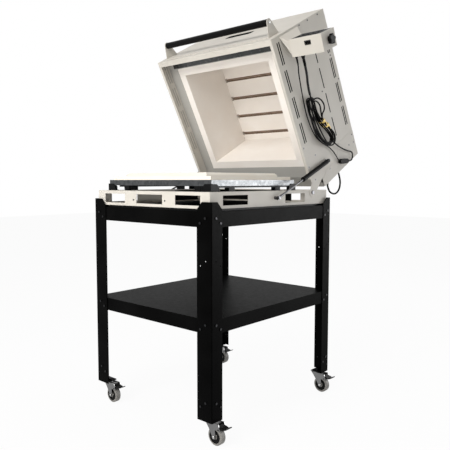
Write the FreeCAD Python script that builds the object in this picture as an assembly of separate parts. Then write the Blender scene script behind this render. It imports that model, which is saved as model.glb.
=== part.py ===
import FreeCAD, Part
import math
import os

# A top-hinged glass kiln on a castered stand, in millimetres.
# +Z is up, the front faces -Y, and the origin lies on the floor under the middle of the whole outline.
# The hood is drawn closed and then swung open by OPEN_ANGLE, which is how the kiln stands at rest.

# Stand
STAND_WIDTH = 750.0
STAND_DEPTH = 858.0
CROWN_TOP = 953.0
LEG_SHEET = 3.0
LEG_BEND = 4.5
LEG_FACE_WIDTH = 80.0
LEG_SIDE_WIDTH = 62.0
CROWN_FLAT_FACE = 52.0
CROWN_FLAT_SIDE = 34.0
CROWN_DROP = 30.0
CASTER_PLATE_SIZE = 62.0
CASTER_PLATE_THICKNESS = 4.0

# Aprons, the rails that join the leg tops
APRON_TOP = 915.5
APRON_HEIGHT = 62.0
APRON_SHEET = 2.0
APRON_TOP_LIP = 40.0
APRON_BOTTOM_LIP = 14.0
MITRE_GAP = 0.2

# Shelf
SHELF_TOP = 491.5
SHELF_SKIRT = 58.0
SHELF_SHEET = 2.0
SHELF_LIP = 12.0

# Base frame, a cream sheet ring with windows, on a black spacer ring
BASE_WIDTH = 716.0
BASE_STEP_Y = 9.0
BASE_DEPTH = STAND_DEPTH - 2 * BASE_STEP_Y
SPACER_HEIGHT = 9.5
SPACER_INSET = 7.0
SPACER_WIDTH = 26.0
BASE_HEIGHT = 66.0
BASE_SHEET = 2.0
BASE_TOP_LIP = 66.0
BASE_BOTTOM_LIP = 24.0
BASE_BEND = 3.0
WINDOW_HEIGHT = 40.0
WINDOW_RISE = 12.0
FRONT_WINDOW_WIDTH = 144.0
FRONT_MIDDLE_WIDTH = 168.0
FRONT_WINDOW_OFFSET = 234.0
REAR_WINDOW_WIDTH = 150.0
REAR_WINDOW_OFFSET = 130.0
FRAME_SCREW_X = 101.0
FRAME_SCREW_Z = 952.0
SIDE_WINDOW_WIDTH = 156.0
SIDE_WINDOW_FRONT_Y = -267.0
SIDE_WINDOW_REAR_Y = 152.0

# Floor pan, its slab and what holds them
PAN_WIDTH = 652.0
PAN_FRONT = -380.0
PAN_REAR = 190.0
PAN_HEIGHT = 24.5
PAN_SHEET = 1.5
PAN_LIFT = 23.0
RAIL_WIDTH = 24.0
RAIL_DEPTH = 7.5
FOOT_WIDTH = 36.0
FOOT_DEPTH = 26.0
CORNER_BRACKET_ARM = 46.0
CORNER_BRACKET_SHEET = 3.0
CORNER_BRACKET_RISE = 8.0
SLAB_RISE = 15.0
SLAB_STEP = 12.0
PLUG_HEIGHT = 16.0
PLUG_CLEARANCE = 7.0
PLUG_BEVEL = 9.0

# Hinge line and the swing of the hood
HINGE_Y = 291.0
HINGE_Z = 979.5
OPEN_ANGLE = 61.7
PIN_RADIUS = 6.0
PIN_CLEARANCE = 0.05

# Hood casing, with heights and depths measured from the hinge line when closed
CASING_SHEET = 1.5
CASING_GAP = 1.0
CASING_FRONT = -733.2
CASING_REAR = 25.2
CASING_BOTTOM = 14.5
CASING_TOP = 474.5
PANEL_GAP = 0.3
FRONT_LIP = 25.0
SIDE_LIP = 13.0
ROOF_FLANGE = 16.0
LUG_RADIUS = 22.0
RELIEF_APEX_Y = -21.0
RELIEF_HEIGHT = 108.0
SLOT_LENGTH = 97.0
SLOT_WIDTH = 5.0
SLOT_COUNT = 4
SLOT_PITCH = 125.0
SLOT_PAIR_STEP = 14.0

# Rear cover and the short cable that loops behind it
WING_SHEET = 1.0
REAR_GLAND_X = 328.0
REAR_GLAND_LEVELS = (182.0, 300.0)
REAR_GLAND_RADIUS = 9.0
REAR_GLAND_LENGTH = 30.0

# Sight opening in the front panel
SIGHT_X = -12.0
SIGHT_Z = 279.0
SIGHT_WIDTH = 168.0
SIGHT_HEIGHT = 52.0

# Brick chamber inside the hood
CHAMBER_WIDTH = 530.0
CHAMBER_FRONT = -632.0
CHAMBER_REAR = -138.0
CHAMBER_CEILING = 357.0
WALL_THICKNESS = 38.0
ROOF_BRICK = 114.0
RIM_CLEARANCE = 3.0
BRICK_GAP = 0.2
RIM_SHEET = 1.5
RIM_SEAT = 0.3

# Heating elements in the roof brick
ELEMENT_COUNT = 5
ELEMENT_PITCH = 105.0
ELEMENT_MIDDLE_Y = -390.0
ELEMENT_RADIUS = 4.5
GROOVE_WIDTH = 12.0
GROOVE_DEPTH = 13.0
SOCKET_RADIUS = 8.5
TERMINAL_RADIUS = 2.5
TERMINAL_LENGTH = 22.0
THERMOCOUPLE_Y = -240.0
THERMOCOUPLE_Z = 250.0
THERMOCOUPLE_RADIUS = 3.2

# Handle
GRIP_RADIUS = 15.0
GRIP_REACH = 59.0
GRIP_LEVEL = 85.0
CHEEK_SPREAD = 650.0
CHEEK_SHEET = 2.5
CHEEK_FOOT = 80.0
CHEEK_BOTTOM = 50.0

# Control box on the right side, measured from the hinge line when closed
BOX_WIDTH = 160.0
BOX_DEPTH = 76.0
BOX_HEIGHT = 110.0
BOX_SHEET = 1.5
BOX_MIDDLE_Y = -662.0
BOX_MIDDLE_Z = 134.0
BOX_STANDOFF = 39.5
BOX_TILT = 4.0
TILT_BOLT_RADIUS = 4.0
KNOB_RADIUS = 22.0
KNOB_HEIGHT = 20.0
DISPLAY_FACE_WIDTH = 146.0
DISPLAY_FACE_HEIGHT = 94.0
ROCKER_WIDTH = 25.0
ROCKER_DEPTH = 12.5
ROCKER_X = 490.0
ROCKER_Y = -12.0
GLAND_Z = -44.0
CONTROL_GLANDS = ((412.0, 6.0), (446.0, 9.0))
GLAND_LENGTH = 14.0

# Gas struts
STRUT_LOW_Y = -4.0
STRUT_LOW_Z = 960.0
STRUT_UP_Y = -82.0
STRUT_UP_Z = 172.0
STRUT_OFFSET = 16.0
CYLINDER_RADIUS = 10.5
CYLINDER_LENGTH = 222.0
STRUT_ROD_RADIUS = 4.5
EYE_RADIUS = 9.0
EYE_THICKNESS = 9.0
STUD_RADIUS = 4.0

# Casters, each swivelling on a bolt through the plate welded into its leg.
# Heights in this file are counted from a level 79 mm under the legs; the floor is CASTER_HEIGHT under them.
LEG_BOTTOM = 79.0
CASTER_INSET = 40.0
CASTER_HEIGHT = 99.0
WHEEL_RADIUS = 37.5
WHEEL_WIDTH = 30.0
CASTER_TRAIL = 30.0
FORK_SHEET = 3.0
FORK_CLEARANCE = 1.0
FORK_TOP_SPACE = 3.5
AXLE_RADIUS = 4.0
KINGPIN_RADIUS = 5.0
PEDAL_PIVOT_X = 54.0
PEDAL_PIVOT_Z = 52.6
PEDAL_REACH = 42.0
PEDAL_WIDTH = 36.0
PEDAL_PIN_RADIUS = 2.5

# Cords
POWER_CORD = 11.0
SENSOR_LEAD = 4.5
HANK_CORD = 7.0
REAR_CABLE = 9.0

# Screws
SCREW_RADIUS = 3.6
SCREW_HEAD = 1.8
BOLT_RADIUS = 5.0
BOLT_HEAD = 3.0
SHANK_RADIUS = 3.0
SHANK_CLEARANCE = 0.2
SEAT_GAP = 0.3

X = FreeCAD.Vector(1, 0, 0)
Y = FreeCAD.Vector(0, 1, 0)
Z = FreeCAD.Vector(0, 0, 1)

# Levels and half sizes that follow from the driving dimensions
AXLE_LEVEL = LEG_BOTTOM - CASTER_HEIGHT + WHEEL_RADIUS
HALF_WIDTH = STAND_WIDTH / 2
HALF_DEPTH = STAND_DEPTH / 2
BASE_BOTTOM = APRON_TOP + SPACER_HEIGHT
BASE_TOP = BASE_BOTTOM + BASE_HEIGHT
BASE_HALF = BASE_WIDTH / 2
BASE_HALF_DEPTH = BASE_DEPTH / 2
PAN_BOTTOM = BASE_TOP + PAN_LIFT
PAN_TOP = PAN_BOTTOM + PAN_HEIGHT
SLAB_TOP = PAN_TOP + SLAB_RISE
PANEL_INNER = BASE_HALF + CASING_GAP
PANEL_OUTER = PANEL_INNER + CASING_SHEET
INNER_HALF = PANEL_INNER - PANEL_GAP
RIM_LEVEL = SLAB_TOP + RIM_CLEARANCE - HINGE_Z
WALL_OUTER = CHAMBER_WIDTH / 2 + WALL_THICKNESS
BRICK_FRONT = CHAMBER_FRONT - WALL_THICKNESS
BRICK_REAR = CHAMBER_REAR + WALL_THICKNESS
BRICK_TOP = CHAMBER_CEILING + ROOF_BRICK
BOX_LEFT = PANEL_OUTER + BOX_STANDOFF
BOX_RIGHT = BOX_LEFT + BOX_WIDTH
STRUT_X = PANEL_OUTER + STRUT_OFFSET
CASTER_X = HALF_WIDTH - CASTER_INSET
CASTER_Y = HALF_DEPTH - CASTER_INSET


def vec(x, y, z):
    return FreeCAD.Vector(x, y, z)


def block(x0, x1, y0, y1, z0, z1):
    return Part.makeBox(x1 - x0, y1 - y0, z1 - z0, vec(x0, y0, z0))


def prism(points, axis, start, end):
    """Extrude a polygon along an axis: the points hold the other two coordinates, in X, Y, Z order."""
    if axis == "x":
        corners = [vec(start, a, b) for a, b in points]
        path = X * (end - start)
    elif axis == "y":
        corners = [vec(a, start, b) for a, b in points]
        path = Y * (end - start)
    else:
        corners = [vec(a, b, start) for a, b in points]
        path = Z * (end - start)
    face = Part.Face(Part.makePolygon(corners + corners[:1]))
    return face.extrude(path)


def cylinder(x, y, z, direction, radius, length):
    return Part.makeCylinder(radius, length, vec(x, y, z), direction)


def join(shapes):
    first, rest = shapes[0], list(shapes[1:])
    return first.fuse(rest).removeSplitter() if rest else first


def mirror_x(shape):
    return shape.mirror(vec(0, 0, 0), X)


def mirror_y(shape):
    return shape.mirror(vec(0, 0, 0), Y)


def turned(shape, centre, axis, angle):
    copy = shape.copy()
    copy.rotate(centre, axis, angle)
    return copy


def edges_along(shape, axis, test):
    """Straight edges that run along an axis and whose middle passes the test."""
    found = []
    for edge in shape.Edges:
        if isinstance(edge.Curve, Part.Line) and abs(abs(edge.tangentAt(0).dot(axis)) - 1) < 1e-6:
            if test(edge.CenterOfMass):
                found.append(edge)
    return found


def rounded(shape, axis, radius, test=lambda point: True):
    return shape.makeFillet(radius, edges_along(shape, axis, test))


def hood_point(x, y, z):
    """A place on the closed hood, given from the hinge line."""
    return vec(x, HINGE_Y + y, HINGE_Z + z)


def opened(shape):
    return turned(shape, vec(0, HINGE_Y, HINGE_Z), X, -OPEN_ANGLE)


def opened_point(x, y, z):
    turn = math.radians(OPEN_ANGLE)
    return vec(x, HINGE_Y + y * math.cos(turn) + z * math.sin(turn),
               HINGE_Z - y * math.sin(turn) + z * math.cos(turn))


def hood_block(x0, x1, y0, y1, z0, z1):
    return block(x0, x1, HINGE_Y + y0, HINGE_Y + y1, HINGE_Z + z0, HINGE_Z + z1)


def hood_prism(points, start, end):
    """Extrude a side view of the closed hood across X."""
    return prism([(HINGE_Y + y, HINGE_Z + z) for y, z in points], "x", start, end)


def save(name, *shapes):
    shape = shapes[0] if len(shapes) == 1 else Part.makeCompound(list(shapes))
    shape.exportStep(os.path.join("parts", name + ".step"))
    print(name, "solids", len(shape.Solids), "valid", shape.isValid())


def bolt(x, y, z, direction, depth, radius=BOLT_RADIUS, head=BOLT_HEAD):
    """A low round head on a face with its shank going in behind it."""
    cap = cylinder(x, y, z, direction, radius, head)
    shank = cylinder(x - direction.x * depth, y - direction.y * depth, z - direction.z * depth,
                     direction, SHANK_RADIUS, depth)
    return join([cap, shank])


FORK_TOP = LEG_BOTTOM - FORK_TOP_SPACE

# Stand bolts: two on each flange at each level, stepped as on the real legs
BOLT_LEVELS = (890.0, 470.0, 156.0)
HOLE_LEVEL = 722.0
BOLT_STEP = 20.0
FACE_BOLTS = (33.0, 61.0)
SIDE_BOLTS = (25.0, 51.0)


def stand_bolt_spots():
    """Place and direction of each bolt on the front right leg, seen from outside."""
    spots = []
    for level in BOLT_LEVELS:
        for step, inset in enumerate(FACE_BOLTS):
            spots.append((HALF_WIDTH - inset, -HALF_DEPTH, level - step * BOLT_STEP, Y * -1))
        for step, inset in enumerate(SIDE_BOLTS):
            spots.append((HALF_WIDTH, -HALF_DEPTH + inset, level - step * BOLT_STEP, X))
    return spots


def bolt_holes(depth):
    radius = SHANK_RADIUS + SHANK_CLEARANCE
    holes = [cylinder(x - d.x * depth, y - d.y * depth, z, d, radius, depth + 1)
             for x, y, z, d in stand_bolt_spots()]
    return holes


def four_corners(shapes):
    """The front right set, mirrored to the other three corners."""
    right = list(shapes)
    front = right + [mirror_x(shape) for shape in right]
    return front + [mirror_y(shape) for shape in front]


def leg_front_right():
    hw, hd, t, r = HALF_WIDTH, HALF_DEPTH, LEG_SHEET, LEG_BEND
    inner = r - t
    turn = 1 - math.sqrt(0.5)
    edges = [
        Part.makeLine(vec(hw - LEG_FACE_WIDTH, -hd, 0), vec(hw - r, -hd, 0)),
        Part.Arc(vec(hw - r, -hd, 0), vec(hw - r * turn, -hd + r * turn, 0), vec(hw, -hd + r, 0)).toShape(),
        Part.makeLine(vec(hw, -hd + r, 0), vec(hw, -hd + LEG_SIDE_WIDTH, 0)),
        Part.makeLine(vec(hw, -hd + LEG_SIDE_WIDTH, 0), vec(hw - t, -hd + LEG_SIDE_WIDTH, 0)),
        Part.makeLine(vec(hw - t, -hd + LEG_SIDE_WIDTH, 0), vec(hw - t, -hd + r, 0)),
        Part.Arc(vec(hw - t, -hd + r, 0), vec(hw - t - inner * turn, -hd + t + inner * turn, 0),
                 vec(hw - r, -hd + t, 0)).toShape(),
        Part.makeLine(vec(hw - r, -hd + t, 0), vec(hw - LEG_FACE_WIDTH, -hd + t, 0)),
        Part.makeLine(vec(hw - LEG_FACE_WIDTH, -hd + t, 0), vec(hw - LEG_FACE_WIDTH, -hd, 0)),
    ]
    profile = Part.Face(Part.Wire(edges))
    profile.translate(Z * LEG_BOTTOM)
    leg = profile.extrude(Z * (CROWN_TOP - LEG_BOTTOM))
    face_edge = hw - LEG_FACE_WIDTH
    side_edge = -hd + LEG_SIDE_WIDTH
    face_cut = prism([(face_edge - 1, CROWN_TOP - CROWN_DROP), (face_edge, CROWN_TOP - CROWN_DROP),
                      (hw - CROWN_FLAT_FACE, CROWN_TOP), (hw - CROWN_FLAT_FACE, CROWN_TOP + 1),
                      (face_edge - 1, CROWN_TOP + 1)], "y", -hd - 1, -hd + t + 1)
    side_cut = prism([(side_edge + 1, CROWN_TOP - CROWN_DROP), (side_edge, CROWN_TOP - CROWN_DROP),
                      (-hd + CROWN_FLAT_SIDE, CROWN_TOP), (-hd + CROWN_FLAT_SIDE, CROWN_TOP + 1),
                      (side_edge + 1, CROWN_TOP + 1)], "x", hw - t - 1, hw + 1)
    spare = [cylinder(hw - FACE_BOLTS[0], -hd - 1, HOLE_LEVEL, Y, SHANK_RADIUS, t + 2),
             cylinder(hw - FACE_BOLTS[1], -hd - 1, HOLE_LEVEL - BOLT_STEP, Y, SHANK_RADIUS, t + 2),
             cylinder(hw - t - 1, -hd + SIDE_BOLTS[0], HOLE_LEVEL, X, SHANK_RADIUS, t + 2),
             cylinder(hw - t - 1, -hd + SIDE_BOLTS[1], HOLE_LEVEL - BOLT_STEP, X, SHANK_RADIUS, t + 2)]
    leg = leg.cut([face_cut, side_cut] + spare + bolt_holes(t + 1))
    plate = block(hw - CASTER_PLATE_SIZE, hw - t / 2, -hd + t / 2, -hd + CASTER_PLATE_SIZE,
                  LEG_BOTTOM, LEG_BOTTOM + CASTER_PLATE_THICKNESS)
    corner = block(hw - r, hw + 1, -hd - 1, -hd + r, LEG_BOTTOM - 1, LEG_BOTTOM + 9)
    bore = cylinder(CASTER_X, -CASTER_Y, LEG_BOTTOM - 1, Z, KINGPIN_RADIUS + SHANK_CLEARANCE,
                    CASTER_PLATE_THICKNESS + 2)
    return join([leg, plate.cut([corner, bore])])


def ring(half_x, half_y, bottom, height, sheet, top_lip, bottom_lip):
    """A sheet ring of channel section: outside walls with lips turned inward at top and bottom."""
    shell = block(-half_x, half_x, -half_y, half_y, bottom, bottom + height)
    hollow = block(-half_x + sheet, half_x - sheet, -half_y + sheet, half_y - sheet,
                   bottom + sheet, bottom + height - sheet)
    above = block(-half_x + top_lip, half_x - top_lip, -half_y + top_lip, half_y - top_lip,
                  bottom + height - 2 * sheet, bottom + height + 1)
    below = block(-half_x + bottom_lip, half_x - bottom_lip, -half_y + bottom_lip, half_y - bottom_lip,
                  bottom - 1, bottom + 2 * sheet)
    return shell.cut([hollow, above, below])


def aprons():
    """The top ring of the stand, cut at its mitred corners into four rails."""
    hx, hy = HALF_WIDTH - LEG_SHEET, HALF_DEPTH - LEG_SHEET
    bottom = APRON_TOP - APRON_HEIGHT
    whole = ring(hx, hy, bottom, APRON_HEIGHT, APRON_SHEET, APRON_TOP_LIP, APRON_BOTTOM_LIP)
    corner = LEG_BEND
    for sx in (-1, 1):
        for sy in (-1, 1):
            nick = block(min(sx * hx, sx * (hx - corner)), max(sx * hx, sx * (hx - corner)),
                         min(sy * hy, sy * (hy - corner)), max(sy * hy, sy * (hy - corner)),
                         bottom - 1, APRON_TOP + 1)
            whole = whole.cut(nick)
    drills = four_corners(bolt_holes(LEG_SHEET + APRON_SHEET + 1))
    whole = whole.cut([drill for drill in drills if drill.CenterOfMass.z > bottom])
    reach = 120.0
    gap = MITRE_GAP
    front = prism([(-hx + gap, -hy), (hx - gap, -hy), (hx - reach - gap, -hy + reach),
                   (-hx + reach + gap, -hy + reach)], "z", bottom - 1, APRON_TOP + 1)
    side = prism([(hx, -hy + gap), (hx, hy - gap), (hx - reach, hy - reach - gap),
                  (hx - reach, -hy + reach + gap)], "z", bottom - 1, APRON_TOP + 1)
    return whole.common(front), whole.common(mirror_y(front)), whole.common(mirror_x(side)), whole.common(side)


def shelf_tray():
    hx, hy = HALF_WIDTH - LEG_SHEET, HALF_DEPTH - LEG_SHEET
    bottom = SHELF_TOP - SHELF_SKIRT
    tray = block(-hx, hx, -hy, hy, bottom, SHELF_TOP)
    hollow = block(-hx + SHELF_SHEET, hx - SHELF_SHEET, -hy + SHELF_SHEET, hy - SHELF_SHEET,
                   bottom + SHELF_SHEET, SHELF_TOP - SHELF_SHEET)
    below = block(-hx + SHELF_LIP, hx - SHELF_LIP, -hy + SHELF_LIP, hy - SHELF_LIP,
                  bottom - 1, bottom + 2 * SHELF_SHEET)
    tray = rounded(tray.cut([hollow, below]), Z, LEG_BEND - LEG_SHEET + 1.0,
                   lambda p: abs(p.x) > hx - 0.1 and abs(p.y) > hy - 0.1)
    drills = four_corners(bolt_holes(LEG_SHEET + SHELF_SHEET + 1))
    return tray.cut([drill for drill in drills if bottom < drill.CenterOfMass.z < SHELF_TOP])


def stand_bolts():
    depth = LEG_SHEET + APRON_SHEET
    right = []
    for x, y, z, direction in stand_bolt_spots():
        length = LEG_SHEET if z < BOLT_LEVELS[1] - 2 * BOLT_STEP else depth
        right.append(bolt(x, y, z, direction, length))
    right.append(kingpin())
    return four_corners(right)


def kingpin():
    """Swivel bolt of one caster: head under the fork, shaft up through the leg plate, nut on top."""
    plate_top = LEG_BOTTOM + CASTER_PLATE_THICKNESS
    head_top = FORK_TOP - FORK_SHEET - SEAT_GAP
    head = cylinder(CASTER_X, -CASTER_Y, head_top - 4, Z, KINGPIN_RADIUS + 3, 4)
    shaft = cylinder(CASTER_X, -CASTER_Y, head_top, Z, KINGPIN_RADIUS, plate_top - head_top + 6)
    nut = cylinder(CASTER_X, -CASTER_Y, plate_top, Z, KINGPIN_RADIUS + 3.5, 6)
    return join([head, shaft, nut])


def base_frame():
    """The cream ring under the hood, pierced by windows, with bores for the hinge and strut pins."""
    frame = ring(BASE_HALF, BASE_HALF_DEPTH, BASE_BOTTOM, BASE_HEIGHT, BASE_SHEET, BASE_TOP_LIP, BASE_BOTTOM_LIP)
    frame = rounded(frame, Z, BASE_BEND, lambda p: abs(p.x) > BASE_HALF - 0.1 and abs(p.y) > BASE_HALF_DEPTH - 0.1)
    low = BASE_BOTTOM + WINDOW_RISE
    high = low + WINDOW_HEIGHT
    cuts = []
    front_windows = ((-FRONT_WINDOW_OFFSET, FRONT_WINDOW_WIDTH), (0.0, FRONT_MIDDLE_WIDTH),
                     (FRONT_WINDOW_OFFSET, FRONT_WINDOW_WIDTH))
    rear_windows = ((-REAR_WINDOW_OFFSET, REAR_WINDOW_WIDTH), (REAR_WINDOW_OFFSET, REAR_WINDOW_WIDTH))
    for wall, windows in ((-BASE_HALF_DEPTH, front_windows), (BASE_HALF_DEPTH, rear_windows)):
        for middle, width in windows:
            cuts.append(block(middle - width / 2, middle + width / 2, wall - 3, wall + 3, low, high))
    for middle in (SIDE_WINDOW_FRONT_Y, SIDE_WINDOW_REAR_Y):
        for side in (-1, 1):
            wall = side * BASE_HALF
            cuts.append(block(wall - 3, wall + 3, middle - SIDE_WINDOW_WIDTH / 2,
                              middle + SIDE_WINDOW_WIDTH / 2, low, high))
    for side in (-1, 1):
        start = side * (BASE_HALF - 4)
        cuts.append(cylinder(start, HINGE_Y, HINGE_Z, X * side, PIN_RADIUS + PIN_CLEARANCE, 8))
        cuts.append(cylinder(start, STRUT_LOW_Y, STRUT_LOW_Z, X * side, STUD_RADIUS + PIN_CLEARANCE, 8))
        cuts.append(cylinder(side * FRAME_SCREW_X, -BASE_HALF_DEPTH - 4, FRAME_SCREW_Z, Y,
                             SHANK_RADIUS + SHANK_CLEARANCE, 8))
    return frame.cut(cuts)


def spacer_ring():
    hx, hy = BASE_HALF - SPACER_INSET, BASE_HALF_DEPTH - SPACER_INSET
    outer = block(-hx, hx, -hy, hy, APRON_TOP, BASE_BOTTOM)
    inner = block(-hx + SPACER_WIDTH, hx - SPACER_WIDTH, -hy + SPACER_WIDTH, hy - SPACER_WIDTH,
                  APRON_TOP - 1, BASE_BOTTOM + 1)
    return outer.cut(inner)


def pan_supports():
    """Side rails on feet, two front feet and a chamfered angle at each corner of the pan."""
    half = PAN_WIDTH / 2
    feet_level = PAN_BOTTOM - RAIL_DEPTH
    edge = half - 4
    rail = block(edge - RAIL_WIDTH, edge, PAN_FRONT + 55, PAN_REAR - 12, feet_level, PAN_BOTTOM)
    rail_feet = [block(edge - RAIL_WIDTH, edge, y - FOOT_WIDTH / 2, y + FOOT_WIDTH / 2, BASE_TOP, feet_level)
                 for y in (-250.0, 65.0)]
    rail_right = join([rail] + rail_feet)
    foot = prism([(-FOOT_WIDTH / 2, PAN_BOTTOM), (FOOT_WIDTH / 2, PAN_BOTTOM), (FOOT_WIDTH / 2 - 4, BASE_TOP),
                  (-FOOT_WIDTH / 2 + 4, BASE_TOP)], "y", PAN_FRONT, PAN_FRONT + FOOT_DEPTH)
    front_feet = [foot.translated(X * -200.0), foot.translated(X * 250.0)]
    t = CORNER_BRACKET_SHEET
    arm = CORNER_BRACKET_ARM
    top = PAN_BOTTOM + CORNER_BRACKET_RISE
    out = half + SEAT_GAP
    front = PAN_FRONT - SEAT_GAP
    drop = 14.0
    along_x = prism([(out + t, BASE_TOP), (out + t, top), (out - arm + drop, top), (out - arm, top - drop),
                     (out - arm, BASE_TOP)], "y", front - t, front)
    along_y = prism([(front - t, BASE_TOP), (front - t, top), (front + arm - drop, top),
                     (front + arm, top - drop), (front + arm, BASE_TOP)], "x", out, out + t)
    foot_plate = block(out - arm, out + t, front - t, front + 18, BASE_TOP, BASE_TOP + t)
    corner = join([along_x, along_y, foot_plate])
    middle = (PAN_FRONT + PAN_REAR) / 2
    rear_corner = corner.mirror(vec(0, middle, 0), Y)
    right = [rail_right, corner, rear_corner]
    return right + [mirror_x(shape) for shape in right] + front_feet


def floor_pan():
    half = PAN_WIDTH / 2
    pan = block(-half, half, PAN_FRONT, PAN_REAR, PAN_BOTTOM, PAN_TOP)
    pan = rounded(pan, Z, 4.0)
    inside = block(-half + PAN_SHEET, half - PAN_SHEET, PAN_FRONT + PAN_SHEET, PAN_REAR - PAN_SHEET,
                   PAN_BOTTOM + PAN_SHEET, PAN_TOP + 1)
    return pan.cut(rounded(inside, Z, 4.0 - PAN_SHEET))


def floor_slab():
    """Fibre-brick floor with a bevelled plug that fits inside the chamber mouth."""
    gap = PAN_SHEET + SEAT_GAP
    half = PAN_WIDTH / 2 - gap
    low = block(-half, half, PAN_FRONT + gap, PAN_REAR - gap, PAN_BOTTOM + PAN_SHEET, PAN_TOP)
    low = rounded(low, Z, 3.0)
    step = SLAB_STEP
    high = block(-half + step, half - step, PAN_FRONT + gap + step, PAN_REAR - gap - step, PAN_TOP - 1, SLAB_TOP)
    px = CHAMBER_WIDTH / 2 - PLUG_CLEARANCE
    py0 = HINGE_Y + CHAMBER_FRONT + PLUG_CLEARANCE
    py1 = HINGE_Y + CHAMBER_REAR - PLUG_CLEARANCE
    plug = block(-px, px, py0, py1, SLAB_TOP - 1, SLAB_TOP + PLUG_HEIGHT)
    top_edges = [edge for edge in plug.Edges if edge.BoundBox.ZMin > SLAB_TOP + PLUG_HEIGHT - 0.1]
    plug = plug.makeChamfer(PLUG_BEVEL, top_edges)
    return join([low, high, plug])


def frame_fasteners():
    """Hinge pins, lower strut studs and the two front frame screws."""
    pieces = []
    for side in (-1, 1):
        out = X * side
        pin = cylinder(side * (BASE_HALF - BASE_SHEET - 6), HINGE_Y, HINGE_Z, out, PIN_RADIUS,
                       6 + BASE_SHEET + CASING_GAP + CASING_SHEET + 2 * SEAT_GAP)
        collar = cylinder(side * (BASE_HALF - BASE_SHEET - 6), HINGE_Y, HINGE_Z, out, PIN_RADIUS + 3, 6)
        head = cylinder(side * (PANEL_OUTER + SEAT_GAP), HINGE_Y, HINGE_Z, out, PIN_RADIUS + 3, 5)
        pieces.append(join([pin, collar, head]))
        stud = cylinder(side * (BASE_HALF - BASE_SHEET - 5), STRUT_LOW_Y, STRUT_LOW_Z, out, STUD_RADIUS,
                        STRUT_X + EYE_THICKNESS / 2 + 5 - BASE_HALF + BASE_SHEET + 5)
        nut = cylinder(side * (BASE_HALF - BASE_SHEET - 5), STRUT_LOW_Y, STRUT_LOW_Z, out, STUD_RADIUS + 4, 5)
        shoulder = cylinder(side * BASE_HALF, STRUT_LOW_Y, STRUT_LOW_Z, out, STUD_RADIUS + 3,
                            STRUT_X - EYE_THICKNESS / 2 - SEAT_GAP - BASE_HALF)
        cap = cylinder(side * (STRUT_X + EYE_THICKNESS / 2 + SEAT_GAP), STRUT_LOW_Y, STRUT_LOW_Z, out,
                       STUD_RADIUS + 2.5, 5)
        pieces.append(join([stud, nut, shoulder, cap]))
        pieces.append(bolt(side * FRAME_SCREW_X, -BASE_HALF_DEPTH, FRAME_SCREW_Z, Y * -1, BASE_SHEET + 3,
                           SCREW_RADIUS, SCREW_HEAD))
    return pieces


SIDE_SLOT_ROWS = (
    # front end of the first slot, height of the row, paired or single
    (-706.0, 45.0, True),
    (-621.0, 316.0, False),
    (-630.0, 426.0, True),
)


def side_slots(x0, x1):
    slots = []
    for first, level, paired in SIDE_SLOT_ROWS:
        for number in range(SLOT_COUNT):
            for row in range(2 if paired else 1):
                y0 = first + number * SLOT_PITCH
                z0 = level + row * SLOT_PAIR_STEP
                slots.append(hood_block(x0, x1, y0, y0 + SLOT_LENGTH, z0, z0 + SLOT_WIDTH))
    return slots


CASING_SCREWS = (
    # place on the right side panel: distance from the hinge line towards the rear, and height
    (-724.0, 412.0), (-724.0, 319.0), (-724.0, 245.0), (-519.0, 438.0), (-391.0, 462.0),
    (-391.0, 293.0), (-218.0, 27.0), (-148.0, 101.0), (-121.0, 27.0), (-42.0, 50.0),
)
WING_SCREWS = ((-54.0, 408.0), (-47.0, 457.0), (-90.0, 457.0), (-28.0, 190.0))
BRACKET_SCREWS = ((-712.0, 88.0), (-712.0, 214.0), (-640.0, 134.0))


def casing_side():
    """Right side panel: lug round the hinge pin, relief behind it, slots, and a lip along the skirt."""
    front, rear, low, top = CASING_FRONT, CASING_REAR, CASING_BOTTOM, CASING_TOP
    lean = math.radians(205)
    tangent_y = LUG_RADIUS * math.cos(math.radians(25))
    tangent_z = LUG_RADIUS * math.sin(math.radians(25))
    rise_y = LUG_RADIUS * math.cos(lean)
    rise_z = LUG_RADIUS * math.sin(lean)
    lug_front = -LUG_RADIUS * 1.9
    edges = []
    points = [(tangent_y, tangent_z), (RELIEF_APEX_Y, RELIEF_HEIGHT), (rear, RELIEF_HEIGHT), (rear, top),
              (front, top), (front, low), (lug_front, low), (rise_y, rise_z)]
    spots = [hood_point(PANEL_INNER, y, z) for y, z in points]
    for start, end in zip(spots, spots[1:]):
        edges.append(Part.makeLine(start, end))
    edges.append(Part.Arc(spots[-1], hood_point(PANEL_INNER, 0, -LUG_RADIUS), spots[0]).toShape())
    panel = Part.Face(Part.Wire(edges)).extrude(X * CASING_SHEET)
    lip = hood_block(PANEL_INNER - SIDE_LIP, PANEL_INNER, front + 2 * CASING_SHEET, lug_front - 20, low, low + CASING_SHEET)
    holes = side_slots(PANEL_INNER - 1, PANEL_OUTER + 1)
    bore = hood_point(PANEL_INNER - 1, 0, 0)
    holes.append(Part.makeCylinder(PIN_RADIUS + PIN_CLEARANCE, 4, bore, X))
    stud = hood_point(PANEL_INNER - 1, STRUT_UP_Y, STRUT_UP_Z)
    holes.append(Part.makeCylinder(STUD_RADIUS + PIN_CLEARANCE, 4, stud, X))
    screws = [hood_point(PANEL_INNER - 1, y, z) for y, z in CASING_SCREWS + WING_SCREWS]
    holes += [Part.makeCylinder(SHANK_RADIUS + SHANK_CLEARANCE, 4, spot, X) for spot in screws]
    return join([panel, lip]).cut(holes)


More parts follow.
